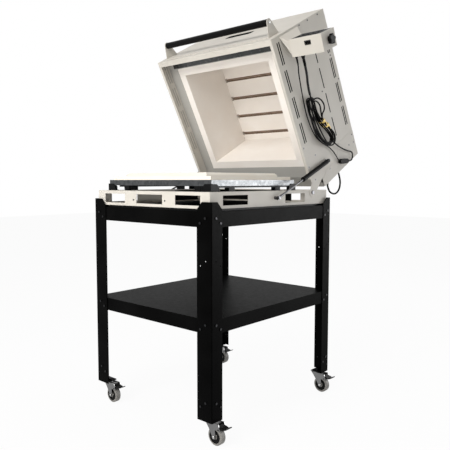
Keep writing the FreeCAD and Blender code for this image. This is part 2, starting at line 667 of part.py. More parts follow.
def casing_front():
    """Front panel with side returns, a wide lip under the skirt and the sight opening."""
    y0 = CASING_FRONT
    web = hood_block(-INNER_HALF, INNER_HALF, y0, y0 + CASING_SHEET, CASING_BOTTOM, CASING_TOP)
    lip = hood_block(-INNER_HALF, INNER_HALF, y0, y0 + FRONT_LIP, CASING_BOTTOM - CASING_SHEET, CASING_BOTTOM)
    returns = [hood_block(side * INNER_HALF - (CASING_SHEET if side > 0 else 0),
                          side * INNER_HALF + (0 if side > 0 else CASING_SHEET),
                          y0, y0 + ROOF_FLANGE, RIM_LEVEL + 5, CASING_TOP) for side in (-1, 1)]
    opening = hood_block(SIGHT_X - SIGHT_WIDTH / 2, SIGHT_X + SIGHT_WIDTH / 2, y0 - 1, y0 + 3,
                         SIGHT_Z - SIGHT_HEIGHT / 2, SIGHT_Z + SIGHT_HEIGHT / 2)
    opening = rounded(opening, Y, SIGHT_HEIGHT * 0.3)
    return join([web, lip] + returns).cut(opening)



def casing_roof():
    """Shallow lid with turned-down sides that lie inside the side panels."""
    y0 = CASING_FRONT + CASING_SHEET + PANEL_GAP
    y1 = CASING_REAR - CASING_SHEET - PANEL_GAP
    top = CASING_TOP
    inside = INNER_HALF - CASING_SHEET - PANEL_GAP
    plate = hood_block(-inside, inside, y0, y1, top - CASING_SHEET, top)
    flanges = [hood_block(min(side * inside, side * (inside - CASING_SHEET)),
                          max(side * inside, side * (inside - CASING_SHEET)),
                          y0 + ROOF_FLANGE + 2, y1 - ROOF_FLANGE - 2, top - ROOF_FLANGE, top) for side in (-1, 1)]
    return join([plate] + flanges)


def casing_rear():
    """Rear cover: one sheet folded round the rear ends of both side panels, with a lip along its foot."""
    y0 = CASING_REAR + PANEL_GAP
    y1 = y0 + CASING_SHEET
    out = PANEL_OUTER + WING_SHEET
    foot = RELIEF_HEIGHT + 4
    back = hood_block(-out, out, y0, y1, foot, CASING_TOP)
    lip = hood_block(-INNER_HALF, INNER_HALF, y0 - 20, y1, foot, foot + CASING_SHEET)
    outline = [(y1, foot), (y1, CASING_TOP), (-107, CASING_TOP), (-107, 318), (-40, 271), (-40, 158), (-8, foot)]
    wing = hood_prism(outline, PANEL_OUTER, out)
    cuts = [Part.makeCylinder(REAR_GLAND_RADIUS - 3 + SHANK_CLEARANCE, 6, hood_point(REAR_GLAND_X, y0 - 2, z), Y)
            for z in REAR_GLAND_LEVELS]
    for y, z in WING_SCREWS:
        hole = Part.makeCylinder(SHANK_RADIUS + SHANK_CLEARANCE, 5, hood_point(PANEL_OUTER - 1, y, z), X)
        cuts += [hole, mirror_x(hole)]
    return join([back, lip, wing, mirror_x(wing)]).cut(cuts)


def inner_frame():
    """Welded sheet box round the bricks, flanged outward at its mouth and folded up at the rear."""
    t = RIM_SHEET
    level = RIM_LEVEL - t - 0.8
    x_out = INNER_HALF
    x_in = WALL_OUTER + RIM_SEAT
    y_front = CASING_FRONT + CASING_SHEET + PANEL_GAP
    y_in = BRICK_FRONT - RIM_SEAT
    y_back = BRICK_REAR + RIM_SEAT
    fold_y = -42.0
    top = BRICK_TOP + RIM_SEAT
    flange = hood_block(-x_out, x_out, y_front, fold_y, level, level + t)
    shell = hood_block(-x_in - t, x_in + t, y_in - t, y_back + t, level, top + t)
    inside = hood_block(-x_in, x_in, y_in, y_back, level - 1, top)
    end_y = CASING_REAR
    end_z = RELIEF_HEIGHT - 2
    slope = hood_prism([(fold_y - 1, level), (fold_y, level), (end_y, end_z - t), (end_y, end_z),
                        (fold_y - 1, level + t)], -x_out, x_out)
    sides = [hood_block(min(side * x_out, side * (x_out - t)), max(side * x_out, side * (x_out - t)),
                        y_front + 20, fold_y - 30, level, level + 14) for side in (-1, 1)]
    holes = [Part.makeCylinder(TERMINAL_RADIUS + 1.5, 8, hood_point(side * (x_in - 3), y, element_level()), X * side)
             for y in element_rows() for side in (-1, 1)]
    holes.append(Part.makeCylinder(THERMOCOUPLE_RADIUS + SEAT_GAP, 8,
                                   hood_point(x_in - 3, THERMOCOUPLE_Y, THERMOCOUPLE_Z), X))
    return join([flange, shell, slope] + sides).cut([inside] + holes)


def brick(x0, x1, y0, y1, z0, z1):
    return hood_block(x0, x1, y0, y1, z0, z1)


def chamber_bricks():
    """Front, rear, left and right wall bricks under one roof brick."""
    half = CHAMBER_WIDTH / 2
    top = CHAMBER_CEILING - BRICK_GAP
    front = brick(-WALL_OUTER, WALL_OUTER, BRICK_FRONT, CHAMBER_FRONT, RIM_LEVEL, top)
    rear = brick(-WALL_OUTER, WALL_OUTER, CHAMBER_REAR, BRICK_REAR, RIM_LEVEL, top)
    right = brick(half, WALL_OUTER, CHAMBER_FRONT + BRICK_GAP, CHAMBER_REAR - BRICK_GAP, RIM_LEVEL, top)
    probe = Part.makeCylinder(THERMOCOUPLE_RADIUS + SEAT_GAP, WALL_THICKNESS + 4,
                              hood_point(half - 2, THERMOCOUPLE_Y, THERMOCOUPLE_Z), X)
    return front, rear, mirror_x(right), right.cut(probe)


def element_rows():
    first = ELEMENT_MIDDLE_Y - ELEMENT_PITCH * (ELEMENT_COUNT - 1) / 2
    return [first + ELEMENT_PITCH * number for number in range(ELEMENT_COUNT)]


def element_level():
    return CHAMBER_CEILING + GROOVE_DEPTH - ELEMENT_RADIUS - SEAT_GAP


def roof_brick():
    """Roof brick with a groove and two end sockets for each element."""
    slab = brick(-WALL_OUTER, WALL_OUTER, BRICK_FRONT, BRICK_REAR, CHAMBER_CEILING, BRICK_TOP)
    cuts = []
    socket_x = CHAMBER_WIDTH / 2 - SOCKET_RADIUS
    for y in element_rows():
        cuts.append(brick(-socket_x, socket_x, y - GROOVE_WIDTH / 2, y + GROOVE_WIDTH / 2,
                          CHAMBER_CEILING - 1, CHAMBER_CEILING + GROOVE_DEPTH))
        for side in (-1, 1):
            cuts.append(Part.makeCylinder(SOCKET_RADIUS, GROOVE_DEPTH + 4,
                                          hood_point(side * socket_x, y, CHAMBER_CEILING - 1), Z))
            start = hood_point(side * (socket_x - 2), y, element_level())
            cuts.append(Part.makeCylinder(TERMINAL_RADIUS + SEAT_GAP, WALL_OUTER - socket_x + 4, start, X * side))
    return slab.cut(cuts)


def heating_elements():
    """Straight elements, each with a thin terminal that runs out through the brick at both ends."""
    elements = []
    half = CHAMBER_WIDTH / 2 - 2 * SOCKET_RADIUS + 4
    for y in element_rows():
        body = Part.makeCylinder(ELEMENT_RADIUS, 2 * half, hood_point(-half, y, element_level()), X)
        reach = WALL_OUTER + TERMINAL_LENGTH
        pins = Part.makeCylinder(TERMINAL_RADIUS, 2 * reach, hood_point(-reach, y, element_level()), X)
        elements.append(join([body, pins]))
    return elements


def thermocouple():
    """Sheathed probe through the right wall with its ceramic block outside the brick."""
    tip = CHAMBER_WIDTH / 2 - 28
    probe = Part.makeCylinder(THERMOCOUPLE_RADIUS, WALL_THICKNESS + 30,
                              hood_point(tip, THERMOCOUPLE_Y, THERMOCOUPLE_Z), X)
    block_x = WALL_OUTER + RIM_SEAT + RIM_SHEET
    head = hood_block(block_x, block_x + 16, THERMOCOUPLE_Y - 15, THERMOCOUPLE_Y + 15,
                      THERMOCOUPLE_Z - 10, THERMOCOUPLE_Z + 10)
    return join([probe, head])


def handle_bracket():
    """One folded sheet: a strip on the front panel whose ends turn out into triangular cheeks."""
    y0 = CASING_FRONT - CHEEK_SHEET
    half = CHEEK_SPREAD / 2
    foot_top = CHEEK_BOTTOM + CHEEK_FOOT
    strip = hood_block(-half, half, y0, CASING_FRONT, CHEEK_BOTTOM, foot_top)
    grip_y = CASING_FRONT - GRIP_REACH
    tip = GRIP_RADIUS + 2
    low_turn = math.radians(250)
    high_turn = math.radians(110)
    spots = [(y0 + 0.5, CHEEK_BOTTOM),
             (grip_y + tip * math.cos(low_turn), GRIP_LEVEL + tip * math.sin(low_turn)),
             (grip_y - tip, GRIP_LEVEL),
             (grip_y + tip * math.cos(high_turn), GRIP_LEVEL + tip * math.sin(high_turn)),
             (y0 + 0.5, foot_top)]
    cheeks = []
    for side in (-1, 1):
        x = side * half
        corners = [hood_point(x, y, z) for y, z in spots]
        edges = [Part.makeLine(corners[0], corners[1]), Part.Arc(corners[1], corners[2], corners[3]).toShape(),
                 Part.makeLine(corners[3], corners[4]), Part.makeLine(corners[4], corners[0])]
        cheeks.append(Part.Face(Part.Wire(edges)).extrude(X * -side * CHEEK_SHEET))
    return join([strip] + cheeks)


def handle_grip():
    half = CHEEK_SPREAD / 2 - CHEEK_SHEET - SEAT_GAP
    grip = Part.makeCylinder(GRIP_RADIUS, 2 * half, hood_point(-half, CASING_FRONT - GRIP_REACH, GRIP_LEVEL), X)
    ends = [edge for edge in grip.Edges if edge.BoundBox.XLength < 0.1]
    return grip.makeFillet(2.0, ends)


BOX_CENTRE = hood_point(0, BOX_MIDDLE_Y, BOX_MIDDLE_Z)


def tilted(shape):
    """Lean a control box piece back by BOX_TILT about its own bolt line."""
    return turned(shape, BOX_CENTRE, X, -BOX_TILT)


def box_block(x0, x1, y0, y1, z0, z1):
    """A block in the control box's own upright frame, measured from its bolt line."""
    return hood_block(x0, x1, BOX_MIDDLE_Y + y0, BOX_MIDDLE_Y + y1, BOX_MIDDLE_Z + z0, BOX_MIDDLE_Z + z1)


def control_bracket():
    """Folded arm: a plate on the side panel, a slanted web, a gusset below and a cheek beside the box."""
    t = 2.0
    y_edge = CASING_FRONT + 8
    y_box = -697.0
    low, high = 74.0, 228.0
    face_x = BOX_LEFT - SEAT_GAP
    plate = hood_prism([(y_edge, low), (y_edge, high), (-700, high), (-622, 152), (-622, 116), (-690, low)],
                       PANEL_OUTER, PANEL_OUTER + t)
    cheek = hood_prism([(y_box, 84), (y_box, 186), (-676, 186), (-640, 156), (-630, 84)], face_x - t, face_x)
    corners = [hood_point(PANEL_OUTER, y_edge, low), hood_point(PANEL_OUTER, y_edge, high),
               hood_point(face_x, y_box, 186), hood_point(face_x, y_box, 84)]
    web = Part.Face(Part.makePolygon(corners + corners[:1])).extrude(Y * t)
    floor = [hood_point(PANEL_OUTER, y_edge, low), hood_point(face_x, y_box, 84), hood_point(face_x, -630, 84)]
    gusset = Part.Face(Part.makePolygon(floor + floor[:1])).extrude(Z * t)
    bore = Part.makeCylinder(TILT_BOLT_RADIUS + PIN_CLEARANCE, 8,
                             hood_point(face_x - 5, BOX_MIDDLE_Y, BOX_MIDDLE_Z), X)
    cuts = [bore]
    for y, z in BRACKET_SCREWS:
        cuts.append(Part.makeCylinder(SHANK_RADIUS + SHANK_CLEARANCE, 5, hood_point(PANEL_OUTER - 1, y, z), X))
    return join([plate, cheek, web, gusset]).cut(cuts)


def control_case():
    """Sheet housing open at the front for its face plate, with bores for the tilt bolt and the rocker."""
    hy, hz, t = BOX_DEPTH / 2, BOX_HEIGHT / 2, BOX_SHEET
    shell = box_block(BOX_LEFT, BOX_RIGHT, -hy, hy, -hz, hz)
    inside = box_block(BOX_LEFT + t, BOX_RIGHT - t, -hy + t, hy - t, -hz + t, hz - t)
    window = box_block(BOX_LEFT + 7, BOX_RIGHT - 7, -hy - 1, -hy + 3, -hz + 8, hz - 8)
    bolt_bore = Part.makeCylinder(TILT_BOLT_RADIUS + PIN_CLEARANCE, BOX_WIDTH + 4,
                                  hood_point(BOX_LEFT - 2, BOX_MIDDLE_Y, BOX_MIDDLE_Z), X)
    rocker_hole = box_block(ROCKER_X - ROCKER_WIDTH / 2, ROCKER_X + ROCKER_WIDTH / 2,
                            ROCKER_Y - ROCKER_DEPTH / 2, ROCKER_Y + ROCKER_DEPTH / 2, -hz - 1, -hz + 4)
    glands = [Part.makeCylinder(radius - 2.5, 6, box_point(x, hy - 4, GLAND_Z), Y) for x, radius in CONTROL_GLANDS]
    return tilted(shell.cut([inside, window, bolt_bore, rocker_hole] + glands))


def box_point(x, y, z):
    return hood_point(x, BOX_MIDDLE_Y + y, BOX_MIDDLE_Z + z)


def control_face():
    """Face plate with a raised display window and four keys."""
    hy, hz = BOX_DEPTH / 2, BOX_HEIGHT / 2
    middle = (BOX_LEFT + BOX_RIGHT) / 2
    w, h = DISPLAY_FACE_WIDTH / 2 - 0.5, DISPLAY_FACE_HEIGHT / 2 - 0.5
    plate = box_block(middle - w, middle + w, -hy - 0.4, -hy + 1.0, -h, h)
    display = box_block(middle - 46, middle + 46, -hy - 2.2, -hy, 4, 34)
    keys = [box_block(middle - 50 + 27 * number, middle - 50 + 27 * number + 19, -hy - 2.4, -hy, -30, -14)
            for number in range(4)]
    return tilted(join([plate, display] + keys))


def control_glands():
    hy = BOX_DEPTH / 2
    pieces = []
    for x, radius in CONTROL_GLANDS:
        nut = Part.makeCylinder(radius, GLAND_LENGTH * 0.5, box_point(x, hy + SEAT_GAP, GLAND_Z), Y)
        nose = Part.makeCylinder(radius - 2, GLAND_LENGTH, box_point(x, hy + SEAT_GAP, GLAND_Z), Y)
        stem = Part.makeCylinder(radius - 2.8, 5, box_point(x, hy + SEAT_GAP - 4, GLAND_Z), Y)
        pieces.append(tilted(join([nut, nose, stem])))
    return pieces


def rocker_switch():
    """Rocker of the power switch on its pivot pin, proud of the box's lower face."""
    hz = BOX_HEIGHT / 2
    w, d = ROCKER_WIDTH / 2 - 1.2, ROCKER_DEPTH / 2 - 1.0
    x0, x1 = ROCKER_X - w, ROCKER_X + w
    outline = [(x0, BOX_MIDDLE_Z - hz - 1.0), (ROCKER_X, BOX_MIDDLE_Z - hz + 0.6), (x1, BOX_MIDDLE_Z - hz - 3.2),
               (x1, BOX_MIDDLE_Z - hz + 3), (ROCKER_X + 3, BOX_MIDDLE_Z - hz + 8), (ROCKER_X - 3, BOX_MIDDLE_Z - hz + 8),
               (x0, BOX_MIDDLE_Z - hz + 3)]
    body = prism([(x, HINGE_Z + z) for x, z in outline], "y", HINGE_Y + BOX_MIDDLE_Y + ROCKER_Y - d,
                 HINGE_Y + BOX_MIDDLE_Y + ROCKER_Y + d)
    pivot = Part.makeCylinder(2.0, 2 * d + 3.0, box_point(ROCKER_X, ROCKER_Y - d - 1.5, 4.0 - hz), Y)
    return tilted(join([body, pivot]))


def tilt_bolt():
    """Bolt that carries the box: head inside the bracket, running through both box walls."""
    start = BOX_LEFT - SEAT_GAP - 2 - 3
    length = BOX_RIGHT + KNOB_HEIGHT * 0.6 - start
    shaft = Part.makeCylinder(TILT_BOLT_RADIUS, length, hood_point(start, BOX_MIDDLE_Y, BOX_MIDDLE_Z), X)
    head = Part.makeCylinder(TILT_BOLT_RADIUS + 4, 3, hood_point(start, BOX_MIDDLE_Y, BOX_MIDDLE_Z), X)
    return join([shaft, head])


def tilt_knob():
    """Five-lobed hand knob on a hub."""
    x = BOX_RIGHT + SEAT_GAP
    hub = Part.makeCylinder(12.0, 6, hood_point(x, BOX_MIDDLE_Y, BOX_MIDDLE_Z), X)
    disc = Part.makeCylinder(KNOB_RADIUS * 0.72, KNOB_HEIGHT - 6, hood_point(x + 6, BOX_MIDDLE_Y, BOX_MIDDLE_Z), X)
    lobes = []
    for number in range(5):
        turn = math.radians(90 + 72 * number)
        y = BOX_MIDDLE_Y + (KNOB_RADIUS - 6) * math.cos(turn)
        z = BOX_MIDDLE_Z + (KNOB_RADIUS - 6) * math.sin(turn)
        lobes.append(Part.makeCylinder(6.5, KNOB_HEIGHT - 6, hood_point(x + 6, y, z), X))
    bore = Part.makeCylinder(TILT_BOLT_RADIUS + PIN_CLEARANCE, KNOB_HEIGHT * 0.6 + 1,
                             hood_point(x - 0.5, BOX_MIDDLE_Y, BOX_MIDDLE_Z), X)
    return join([hub, disc] + lobes).cut(bore)


def strut_ends():
    """Both ends of the right strut when the hood is open: lower stud and upper stud."""
    low = vec(STRUT_X, STRUT_LOW_Y, STRUT_LOW_Z)
    up = opened_point(STRUT_X, STRUT_UP_Y, STRUT_UP_Z)
    return low, up


def strut_rod():
    low, up = strut_ends()
    along = (up - low).normalize()
    eye = Part.makeCylinder(EYE_RADIUS, EYE_THICKNESS, low - X * EYE_THICKNESS / 2, X)
    length = (up - low).Length - CYLINDER_LENGTH * 0.83
    shaft = Part.makeCylinder(STRUT_ROD_RADIUS, length, low, along)
    ferrule = Part.makeCylinder(STRUT_ROD_RADIUS + 2, 16, low + along * (EYE_RADIUS - 2), along)
    bore = Part.makeCylinder(STUD_RADIUS + PIN_CLEARANCE, EYE_THICKNESS + 2, low - X * (EYE_THICKNESS / 2 + 1), X)
    return join([eye, shaft, ferrule]).cut(bore)


def strut_cylinder():
    """Outer tube of the gas strut, open at the rod end, with an offset eye facing the hood stud."""
    low, up = strut_ends()
    along = (up - low).normalize()
    start = up - along * (CYLINDER_LENGTH + EYE_RADIUS + 6)
    tube = Part.makeCylinder(CYLINDER_RADIUS, CYLINDER_LENGTH, start, along)
    bore_length = CYLINDER_LENGTH - 10
    bore = Part.makeCylinder(STRUT_ROD_RADIUS + PIN_CLEARANCE, bore_length + 1, start - along, along)
    nose = Part.makeCylinder(CYLINDER_RADIUS + 1, 8, start, along)
    neck = Part.makeCylinder(4.0, EYE_RADIUS + 8, up - along * (EYE_RADIUS + 8), along)
    eye = Part.makeCylinder(EYE_RADIUS, EYE_THICKNESS, up - X * EYE_THICKNESS / 2, X)
    return join([tube, nose, neck, eye]).cut(bore)


def hood_fasteners():
    """Casing screws, bracket screws, strut studs and the tilt bolt, all carried by the hood."""
    right = []
    for y, z in CASING_SCREWS:
        right.append(bolt(PANEL_OUTER, HINGE_Y + y, HINGE_Z + z, X, CASING_SHEET, SCREW_RADIUS, SCREW_HEAD))
    for y, z in WING_SCREWS:
        right.append(bolt(PANEL_OUTER + WING_SHEET, HINGE_Y + y, HINGE_Z + z, X, CASING_SHEET + WING_SHEET,
                          SCREW_RADIUS, SCREW_HEAD))
    y, z = HINGE_Y + STRUT_UP_Y, HINGE_Z + STRUT_UP_Z
    nut = cylinder(PANEL_INNER - 4, y, z, X, STUD_RADIUS + 4, 4)
    shaft = cylinder(PANEL_INNER - 4, y, z, X, STUD_RADIUS, STRUT_X - EYE_THICKNESS / 2 - SEAT_GAP - PANEL_INNER + 4)
    washer = cylinder(PANEL_OUTER, y, z, X, STUD_RADIUS + 4, 4)
    right.append(join([nut, shaft, washer]))
    pieces = right + [mirror_x(piece) for piece in right]
    for y, z in BRACKET_SCREWS:
        pieces.append(bolt(PANEL_OUTER + 2.0, HINGE_Y + y, HINGE_Z + z, X, 2.0, SCREW_RADIUS, SCREW_HEAD))
    pieces.append(tilt_bolt())
    return pieces


def caster_fork():
    """Pressed yoke with its riveted axle, drawn for the front right corner and trailing to the right."""
    x, y = CASTER_X, -CASTER_Y
    inner = WHEEL_WIDTH / 2 + FORK_CLEARANCE
    outer = inner + FORK_SHEET
    top = FORK_TOP
    under = top - FORK_SHEET
    axle_x = x + CASTER_TRAIL
    wing_x = x + PEDAL_PIVOT_X + 6
    plate = block(x - 19, axle_x, y - outer, y + outer, under, top)
    raceway = cylinder(x, y, top, Z, 20.0, LEG_BOTTOM - top - SEAT_GAP)
    arm = [(x - 19, top), (wing_x - 6, top), (wing_x, PEDAL_PIVOT_Z + 9), (wing_x, PEDAL_PIVOT_Z - 6),
           (axle_x + 18, PEDAL_PIVOT_Z - 3), (axle_x + 6, PEDAL_PIVOT_Z - 5), (axle_x + 8, AXLE_LEVEL),
           (axle_x + 6, AXLE_LEVEL - 8), (axle_x - 6, AXLE_LEVEL - 8), (axle_x - 10, AXLE_LEVEL + 2.5),
           (x + 3, top - 28)]
    sides = [prism(arm, "y", y + inner, y + outer), prism(arm, "y", y - outer, y - inner)]
    axle = cylinder(axle_x, y - outer - 2.5, AXLE_LEVEL, Y, AXLE_RADIUS, 2 * outer + 5)
    heads = [cylinder(axle_x, y - outer - 2.5, AXLE_LEVEL, Y, AXLE_RADIUS + 2.5, 2.5),
             cylinder(axle_x, y + outer, AXLE_LEVEL, Y, AXLE_RADIUS + 2.5, 2.5)]
    bore = cylinder(x, y, under - 1, Z, KINGPIN_RADIUS + PIN_CLEARANCE, 12)
    pivot = cylinder(x + PEDAL_PIVOT_X, y - outer - 1, PEDAL_PIVOT_Z, Y, PEDAL_PIN_RADIUS + PIN_CLEARANCE,
                     2 * outer + 2)
    return join([plate, raceway, axle] + sides + heads).cut([bore, pivot])


def caster_wheel():
    """Wheel with rounded tread and a hub, bored for a running fit on the axle."""
    half = WHEEL_WIDTH / 2
    radius = WHEEL_RADIUS
    bore = AXLE_RADIUS + PIN_CLEARANCE
    points = [(bore, -half), (11.0, -half), (13.0, -half + 5), (radius - 10, -half + 5), (radius - 9, -half + 1),
              (radius - 5, -half + 1), (radius, -half + 5), (radius, half - 5), (radius - 5, half - 1),
              (radius - 9, half - 1), (radius - 10, half - 5), (13.0, half - 5), (11.0, half), (bore, half)]
    corners = [vec(a, b, 0) for a, b in points]
    wheel = Part.Face(Part.makePolygon(corners + corners[:1])).revolve(vec(0, 0, 0), Y, 360)
    return wheel.translated(vec(CASTER_X + CASTER_TRAIL, -CASTER_Y, AXLE_LEVEL))


def caster_pedal():
    """Brake pedal: a pin across the fork, a lobe that swings to the tread, a hood over it and a foot plate."""
    x, y, z = CASTER_X + PEDAL_PIVOT_X, -CASTER_Y, PEDAL_PIVOT_Z
    inner = WHEEL_WIDTH / 2 + FORK_CLEARANCE - 0.5
    outer = inner + 0.5 + FORK_SHEET
    pin = cylinder(x, y - outer - 1.5, z, Y, PEDAL_PIN_RADIUS, 2 * outer + 3)
    hub = cylinder(x, y - inner, z, Y, PEDAL_PIN_RADIUS + 1, 2 * inner)
    lobe_turn = math.radians(294.0)
    lobe = cylinder(x + 4 * math.cos(lobe_turn), y - inner + 2, z + 4 * math.sin(lobe_turn), Y, 1.4, 2 * inner - 4)
    tip = PEDAL_REACH
    upper = [(-12, 19), (-1, 18), (10, 12)]
    foot = [(12, 11), (23, 7), (tip - 2, 14.5), (tip - 1.5, 10.5), (23, 2.5), (12, 4.7)]
    lower = [(11, 5), (3, -1.5), (-3, -1.5), (-7, 5.5), (-12, 13.5)]
    half = PEDAL_WIDTH / 2
    cover = prism([(x + a, z + b) for a, b in upper + foot + lower], "y", y - inner, y + inner)
    tread = prism([(x + a, z + b) for a, b in foot], "y", y - half, y + half)
    return join([pin, hub, lobe, cover, tread])


def cord_wire(points, closed):
    """Centre line of straight runs joined by tangent arcs, with its length and smallest radius."""
    spots = [vec(*point) for point in points]
    count = len(spots)
    edges, radii, length = [], [], 0.0
    starts, ends = {}, {}
    inner = range(count) if closed else range(1, count - 1)
    arcs = {}
    for index in inner:
        before, here, after = spots[index - 1], spots[index], spots[(index + 1) % count]
        back, ahead = before - here, after - here
        reach = 0.45 * min(back.Length, ahead.Length)
        back.normalize()
        ahead.normalize()
        half = math.acos(max(-1.0, min(1.0, -back.dot(ahead)))) / 2
        radius = reach / math.tan(half)
        radii.append(radius)
        first, last = here + back * reach, here + ahead * reach
        middle_way = (back + ahead).normalize()
        depth = radius / math.cos(half) - radius
        arcs[index] = (first, here + middle_way * depth, last)
        length += 2 * half * radius
    order = list(range(count)) + ([0] if closed else [])
    for start, end in zip(order, order[1:]):
        head = arcs[start][2] if start in arcs else spots[start]
        tail = arcs[end][0] if end in arcs else spots[end]
        edges.append(Part.makeLine(head, tail))
        length += (tail - head).Length
        if end in arcs:
            edges.append(Part.Arc(*arcs[end]).toShape())
    return Part.Wire(edges), length, min(radii)


def cord(name, points, diameter, closed=False):
    """A round cord along its route, checked against its own length and section."""
    wire, length, bend = cord_wire(points, closed)
    first = wire.Edges[0]
    start = first.valueAt(first.FirstParameter)
    along = first.tangentAt(first.FirstParameter)
    circle = Part.Wire([Part.makeCircle(diameter / 2, start, along)])
    body = wire.makePipeShell([circle], True, True)
    if body.Volume < 0:
        body.reverse()
    volume = math.pi * diameter * diameter / 4 * length
    print(name, "smallest bend %.0f" % bend, "of diameter %.1f" % diameter, "volume ratio %.4f" % (body.Volume / volume))
    return body


def gland_exit(x):
    """End of a cord gland on the open hood's control box, and the direction in which the cord leaves."""
    turn = math.radians(BOX_TILT)
    y, z = BOX_DEPTH / 2 + GLAND_LENGTH + SEAT_GAP, GLAND_Z
    spot = opened_point(x, BOX_MIDDLE_Y + y * math.cos(turn) + z * math.sin(turn),
                        BOX_MIDDLE_Z - y * math.sin(turn) + z * math.cos(turn))
    lean = math.radians(OPEN_ANGLE + BOX_TILT)
    return spot, vec(0, math.cos(lean), -math.sin(lean))


def gland_cord(name, x, points, diameter, lead):
    spot, way = gland_exit(x)
    start = spot + way * 0.1
    return cord(name, [tuple(start), tuple(start + way * lead)] + points, diameter)


def hank():
    """The gathered spare cord: three closed loops side by side and two ties round their shared straight run."""
    pieces = []
    for x, route in zip(HANK_X, (HANK_OUTER, HANK_MIDDLE, HANK_INNER)):
        pieces.append(cord("cord_hank", [(x, y, z) for y, z in route], HANK_CORD, closed=True))
    (y0, z0), (y1, z1) = HANK_RUN
    lean = math.degrees(math.atan2(z1 - z0, y1 - y0))
    for share in TIE_SHARES:
        y, z = y0 + (y1 - y0) * share, z0 + (z1 - z0) * share
        half = HANK_CORD / 2 + SEAT_GAP
        low, high = HANK_X[2] - half, HANK_X[0] + half
        band = block(low - TIE_SHEET, high + TIE_SHEET, y - TIE_WIDTH / 2, y + TIE_WIDTH / 2,
                     z - half - TIE_SHEET, z + half + TIE_SHEET)
        window = block(low, high, y - TIE_WIDTH, y + TIE_WIDTH, z - half, z + half)
        pieces.append(turned(band.cut(window), vec(0, y, z), X, lean))
    return pieces


HANK_X = (389.5, 381.2, 372.9)
HANK_RUN = ((324, 1326), (384, 1297))
TIE_SHARES = (0.33, 0.7)
TIE_WIDTH = 9.0
TIE_SHEET = 1.2
HANK_OUTER = ((244, 1412), (284, 1422), (322, 1404), (334, 1366)) + HANK_RUN + (
    (428, 1274), (444, 1238), (412, 1211), (364, 1206), (316, 1216), (270, 1246), (236, 1300), (214, 1352),
    (218, 1390))
HANK_MIDDLE = ((203, 1402), (234, 1420), (266, 1400), (288, 1358)) + HANK_RUN + (
    (424, 1271), (432, 1235), (396, 1213), (342, 1222), (292, 1254), (252, 1304), (214, 1356))
HANK_INNER = ((208, 1374), (224, 1404), (258, 1404), (284, 1364)) + HANK_RUN + (
    (410, 1268), (396, 1238), (358, 1238), (314, 1268), (268, 1316), (232, 1344))
POWER_CORD_ROUTE = [(428.0, 132.0, 1497.0), (412.5, 160.0, 1471.0), (400.0, 188.0, 1440.0), (390.0, 216.0, 1408.0)]
SENSOR_LEAD_ROUTE = [(400.0, 106.0, 1508.0), (388.0, 132.0, 1472.0), (376.0, 158.0, 1432.0), (368.0, 184.0, 1388.0),
                     (366.0, 206.0, 1342.0), (366.0, 232.0, 1298.0), (366.0, 266.0, 1258.0), (366.5, 310.0, 1222.0),
                     (368.0, 364.0, 1204.0), (370.0, 418.0, 1190.0), (371.0, 462.0, 1168.0), (372.0, 494.0, 1142.0),
                     (372.0, 518.0, 1132.0)]
CORD_TAIL_ROUTE = [(387.5, 430.0, 1226.0), (386.0, 478.0, 1216.0), (383.0, 530.0, 1203.0), (380.0, 574.0, 1197.0),
                   (377.0, 606.0, 1193.0), (374.5, 637.0, 1190.0), (372.5, 653.0, 1164.0), (372.0, 637.0, 1138.5),
                   (372.0, 596.0, 1138.5)]
COUPLER_START = (372.0, 516.0, 1131.5)
COUPLER_END = (372.0, 598.0, 1138.5)
COUPLER_HEIGHT = 24.0
COUPLER_WIDTH = 16.0


def inline_coupler():
    """Plug and socket joined in line, waisted in the middle."""
    start, end = vec(*COUPLER_START), vec(*COUPLER_END)
    along = end - start
    length = along.Length - 0.2
    angle = math.degrees(math.atan2(along.z, along.y))
    half_h, half_w = COUPLER_HEIGHT / 2, COUPLER_WIDTH / 2
    y, z = start.y, start.z
    outline = [(y + 0.1, z - 4), (y + 16, z - half_h), (y + length * 0.46, z - half_h),
               (y + length * 0.5, z - half_h + 2), (y + length * 0.54, z - half_h), (y + length - 16, z - half_h),
               (y + length, z - 5), (y + length, z + 5), (y + length - 16, z + half_h),
               (y + length * 0.54, z + half_h), (y + length * 0.5, z + half_h - 2), (y + length * 0.46, z + half_h),
               (y + 16, z + half_h), (y + 0.1, z + 4)]
    body = prism(outline, "x", start.x - half_w, start.x + half_w)
    return turned(body, start, X, angle)


def rear_cable():
    """Short cable that loops behind the rear cover between two moulded grommets."""
    y0 = CASING_REAR + PANEL_GAP + CASING_SHEET
    low, high = REAR_GLAND_LEVELS
    x = REAR_GLAND_X
    route = [(x, y0 + 8, high), (x, y0 + 62, high + 6), (x, y0 + 104, high - 22), (x, y0 + 112, high - 66),
             (x, y0 + 90, low + 14), (x, y0 + 56, low - 8), (x, y0 + 8, low)]
    points = [tuple(hood_point(*point)) for point in route]
    cable = cord("rear_cable", points, REAR_CABLE)
    grommets = []
    for z, length in ((low, REAR_GLAND_LENGTH), (high, 10.0)):
        grommets.append(Part.makeCone(REAR_GLAND_RADIUS, REAR_CABLE / 2 + 1.5, length, hood_point(x, y0, z), Y))
        grommets.append(Part.makeCylinder(REAR_GLAND_RADIUS - 3, CASING_SHEET + 1, hood_point(x, y0 - CASING_SHEET - 1, z), Y))
    return join([cable] + grommets)


CORD_NODES = ("power_cord", "sensor_lead", "cord_hank", "cord_tail", "inline_coupler")


